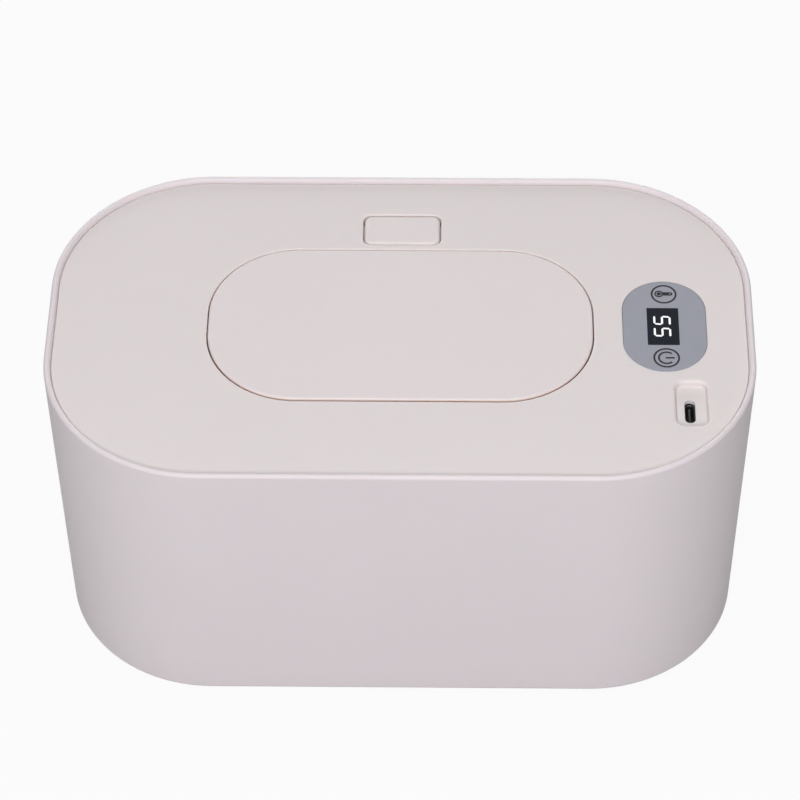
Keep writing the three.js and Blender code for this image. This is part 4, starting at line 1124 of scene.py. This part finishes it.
buttonSpring = {"wire": 0.5, "radius": 2.2, "turns": 5, "pressed": 2.0}
touchSpring = {"wire": 0.5, "radius": 3.0, "turns": 4, "pressed": 0.0}
for kind, spring in (("button_spring", buttonSpring), ("touch_spring", touchSpring)):
    for k, at in enumerate(boxesOf(kind, 2)):
        x = at["left"] + spring["radius"] + spring["wire"] / 2
        turns = [(x + a, at["y"] + b, c) for a, b, c in coilPoints(spring, at["low"], at["top"])]
        piece = placeWire(f"{kind}_{k + 1}", turns, spring["wire"])
        if spring["pressed"]:
            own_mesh(piece)
latchBox = boxOf("latch_spring")
latch = {"wire": 0.4, "radius": 1.25, "turns": 7, "pressed": 2.0}
boltMiddle = (boltBox["low"] + boltBox["top"]) / 2
turns = [(a, c, boltMiddle + b) for a, b, c in coilPoints(latch, latchBox["front"], latchBox["back"])]
piece = placeWire("latch_spring", turns, latch["wire"])
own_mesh(piece)
torsion = {"wire": 0.7, "radius": 1.75, "turns": 7, "length": 9.0, "leg": 7.0, "drop": 3.6}


def torsionPoints():
    # from its end behind the lid's arm, round the pin, to its leg under the cover
    wire, radius, half, drop = torsion["wire"], torsion["radius"], torsion["length"] / 2, torsion["drop"]
    behind = arm["eye"] + gap + wire / 2
    rest = coverUnder - pin["z"] - gap - wire / 2
    steps = torsion["turns"] * stepsPerTurn
    wound = around(0, 0, radius, 2, 2 - torsion["turns"] * 4, steps)
    turns = [(half - torsion["length"] * step / steps, *point) for step, point in enumerate(wound)]
    return [
        (arm["x"], -behind, -drop), (half + wire, -behind, -drop), (half, -behind, wire - drop),
        (half, -radius, -wire), *turns, (-half, -radius - wire, rest - wire / 2),
        (-half, -radius - wire * 2, rest), (-half, -radius - torsion["leg"], rest),
    ]


placeWire("lid_spring", [(a, pin["y"] + b, pin["z"] + c) for a, b, c in torsionPoints()], torsion["wire"])
print("pin and springs made")

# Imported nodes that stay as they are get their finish, and softened edges where a width is given
for node, material, edge in (
    ("latch_bolt", acetal, 0.2), ("latch_bracket", polypropylene, 0.2), ("control_board", boardGreen, 0.08),
    ("display_module", contactBlack, 0.15), ("thermal_fuse", aluminiumSheet, 0.0),
    ("thermistor", heaterFoil, 0.0), ("heater_lead_1", wireCover, 0.0), ("heater_lead_2", wireCover, 0.0),
    ("sensor_lead", siliconeSoft, 0.0),
):
    finish(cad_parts[node], material, edge)
print("inner pieces dressed")

# Floor and soft studio light
white = (1.0, 1.0, 1.0, 1.0)
floorLook = {
    "tones": ("#d0cfce", "#cecdcc"), "size": 4000.0, "depth": 4.0, "fibre": 40,
    "seen": 0.93, "mirrored": 0.2, "fill": 0.0,
}
studioLook = {"seen": 0.83, "mirrored": 0.04, "fill": 0.1}


def glowFor(tree, look):
    # a level that differs for the camera, for mirrored or refracted rays, and for all others
    path = addNode(tree, "LightPath").outputs
    seen = addNode(tree, "Math", {
        0: path["Is Camera Ray"], 1: look["seen"], 2: look["fill"]}, operation="MULTIPLY_ADD")
    bounced = addNode(tree, "Math", {
        0: path["Is Glossy Ray"], 1: path["Is Transmission Ray"]}, operation="MAXIMUM")
    return addNode(tree, "Math", {
        0: bounced.outputs[0], 1: look["mirrored"], 2: seen.outputs[0]}, operation="MULTIPLY_ADD").outputs[0]


@materialFrom
def paperFloor(tree, spot, look):
    # Seamless matt paper: faint fibres under an even tone
    fibre = noise(tree, spot, look["fibre"], detail=3.0)
    return {"Base Color": blend(tree, fibre, *look["tones"]), "Roughness": 0.9, "IOR": 1.4}


def makeFloor():
    # the camera sees the paper lifted towards white, and the object's shadow stays on it
    material = paperFloor("paper_matt_backdrop", floorLook)
    tree = material.node_tree
    output = next(node for node in tree.nodes if node.type == "OUTPUT_MATERIAL").inputs["Surface"]
    glow = addNode(tree, "Emission", {"Color": white, "Strength": 1.0})
    lifted = addNode(tree, "MixShader", {
        0: glowFor(tree, floorLook), 1: output.links[0].from_socket, 2: glow.outputs[0]})
    tree.links.new(lifted.outputs[0], output)
    half = floorLook["size"] / 2
    corners = ((-half, -half), (half, -half), (half, half), (-half, half))
    floor = skin([[(*corner, z) for corner in corners] for z in (-floorLook["depth"], 0.0)])
    floor.name = "floor"
    floor.data.materials.append(material)


makeFloor()
aim = Vector((0, 0, 60))
lamps = {
    "topSoftbox": {"size": (1200, 1000), "watts": 7.3, "at": (0, 100, 1400)},
    "frontSoftbox": {"size": (700, 700), "watts": 16.1, "at": (0, -1265, 1010)},
    "leftSoftbox": {"size": (900, 800), "watts": 1.5, "at": (-1400, -200, 500)},
    "backLeftFill": {"size": (900, 600), "watts": 6.2, "at": (-500, 1500, 420)},
    "backRightFill": {"size": (900, 600), "watts": 6.2, "at": (500, 1500, 420)},
}
for name, lamp in lamps.items():
    data = bpy.data.lights.new(name, "AREA")
    data.shape = "RECTANGLE"
    data.size, data.size_y = (side * mm for side in lamp["size"])
    data.energy = lamp["watts"]
    light = bpy.data.objects.new(name, data)
    light.location = Vector(lamp["at"]) * mm
    light.rotation_euler = (aim - Vector(lamp["at"])).to_track_quat("-Z", "Y").to_euler()
    scene.collection.objects.link(light)

world = bpy.data.worlds.new("studio")
world.use_nodes = True
scene.world = world
tree = world.node_tree
tree.nodes.clear()
sky = addNode(tree, "Background", {"Color": white, "Strength": glowFor(tree, studioLook)})
addNode(tree, "OutputWorld", {"Surface": sky.outputs[0]})
print("light made")

# Camera at the photograph's place, solved from the tub's outline
# Angles are in radians, offset is the scene's origin as the camera sees it, and stand lifts the camera
cameraLook = {
    "focalPixels": 3641.56, "imagePixels": 800, "sensor": 36.0, "pitch": 0.81967, "yaw": 0.02158,
    "roll": -0.00962, "offset": (0.772, 46.951, 1210.878), "stand": 1.0, "clip": (0.05, 20),
}


def makeCamera():
    look = cameraLook
    down, level = math.sin(look["pitch"]), math.cos(look["pitch"])
    tilt = Matrix(((1, 0, 0), (0, -down, -level), (0, level, -down)))
    roll, yaw = (Matrix.Rotation(look[key], 3, "Z") for key in ("roll", "yaw"))
    view = roll @ tilt @ yaw.transposed()
    location = -(view.transposed() @ Vector(look["offset"])) + Vector((0, 0, look["stand"]))
    data = bpy.data.cameras.new("camera")
    data.sensor_width = look["sensor"]
    data.lens = look["focalPixels"] * look["sensor"] / look["imagePixels"]
    data.clip_start, data.clip_end = look["clip"]
    camera = bpy.data.objects.new("camera", data)
    axes = Matrix((view[0], -view[1], -view[2])).transposed()
    camera.matrix_world = Matrix.Translation(location * mm) @ axes.to_4x4()
    scene.collection.objects.link(camera)
    scene.camera = camera


makeCamera()
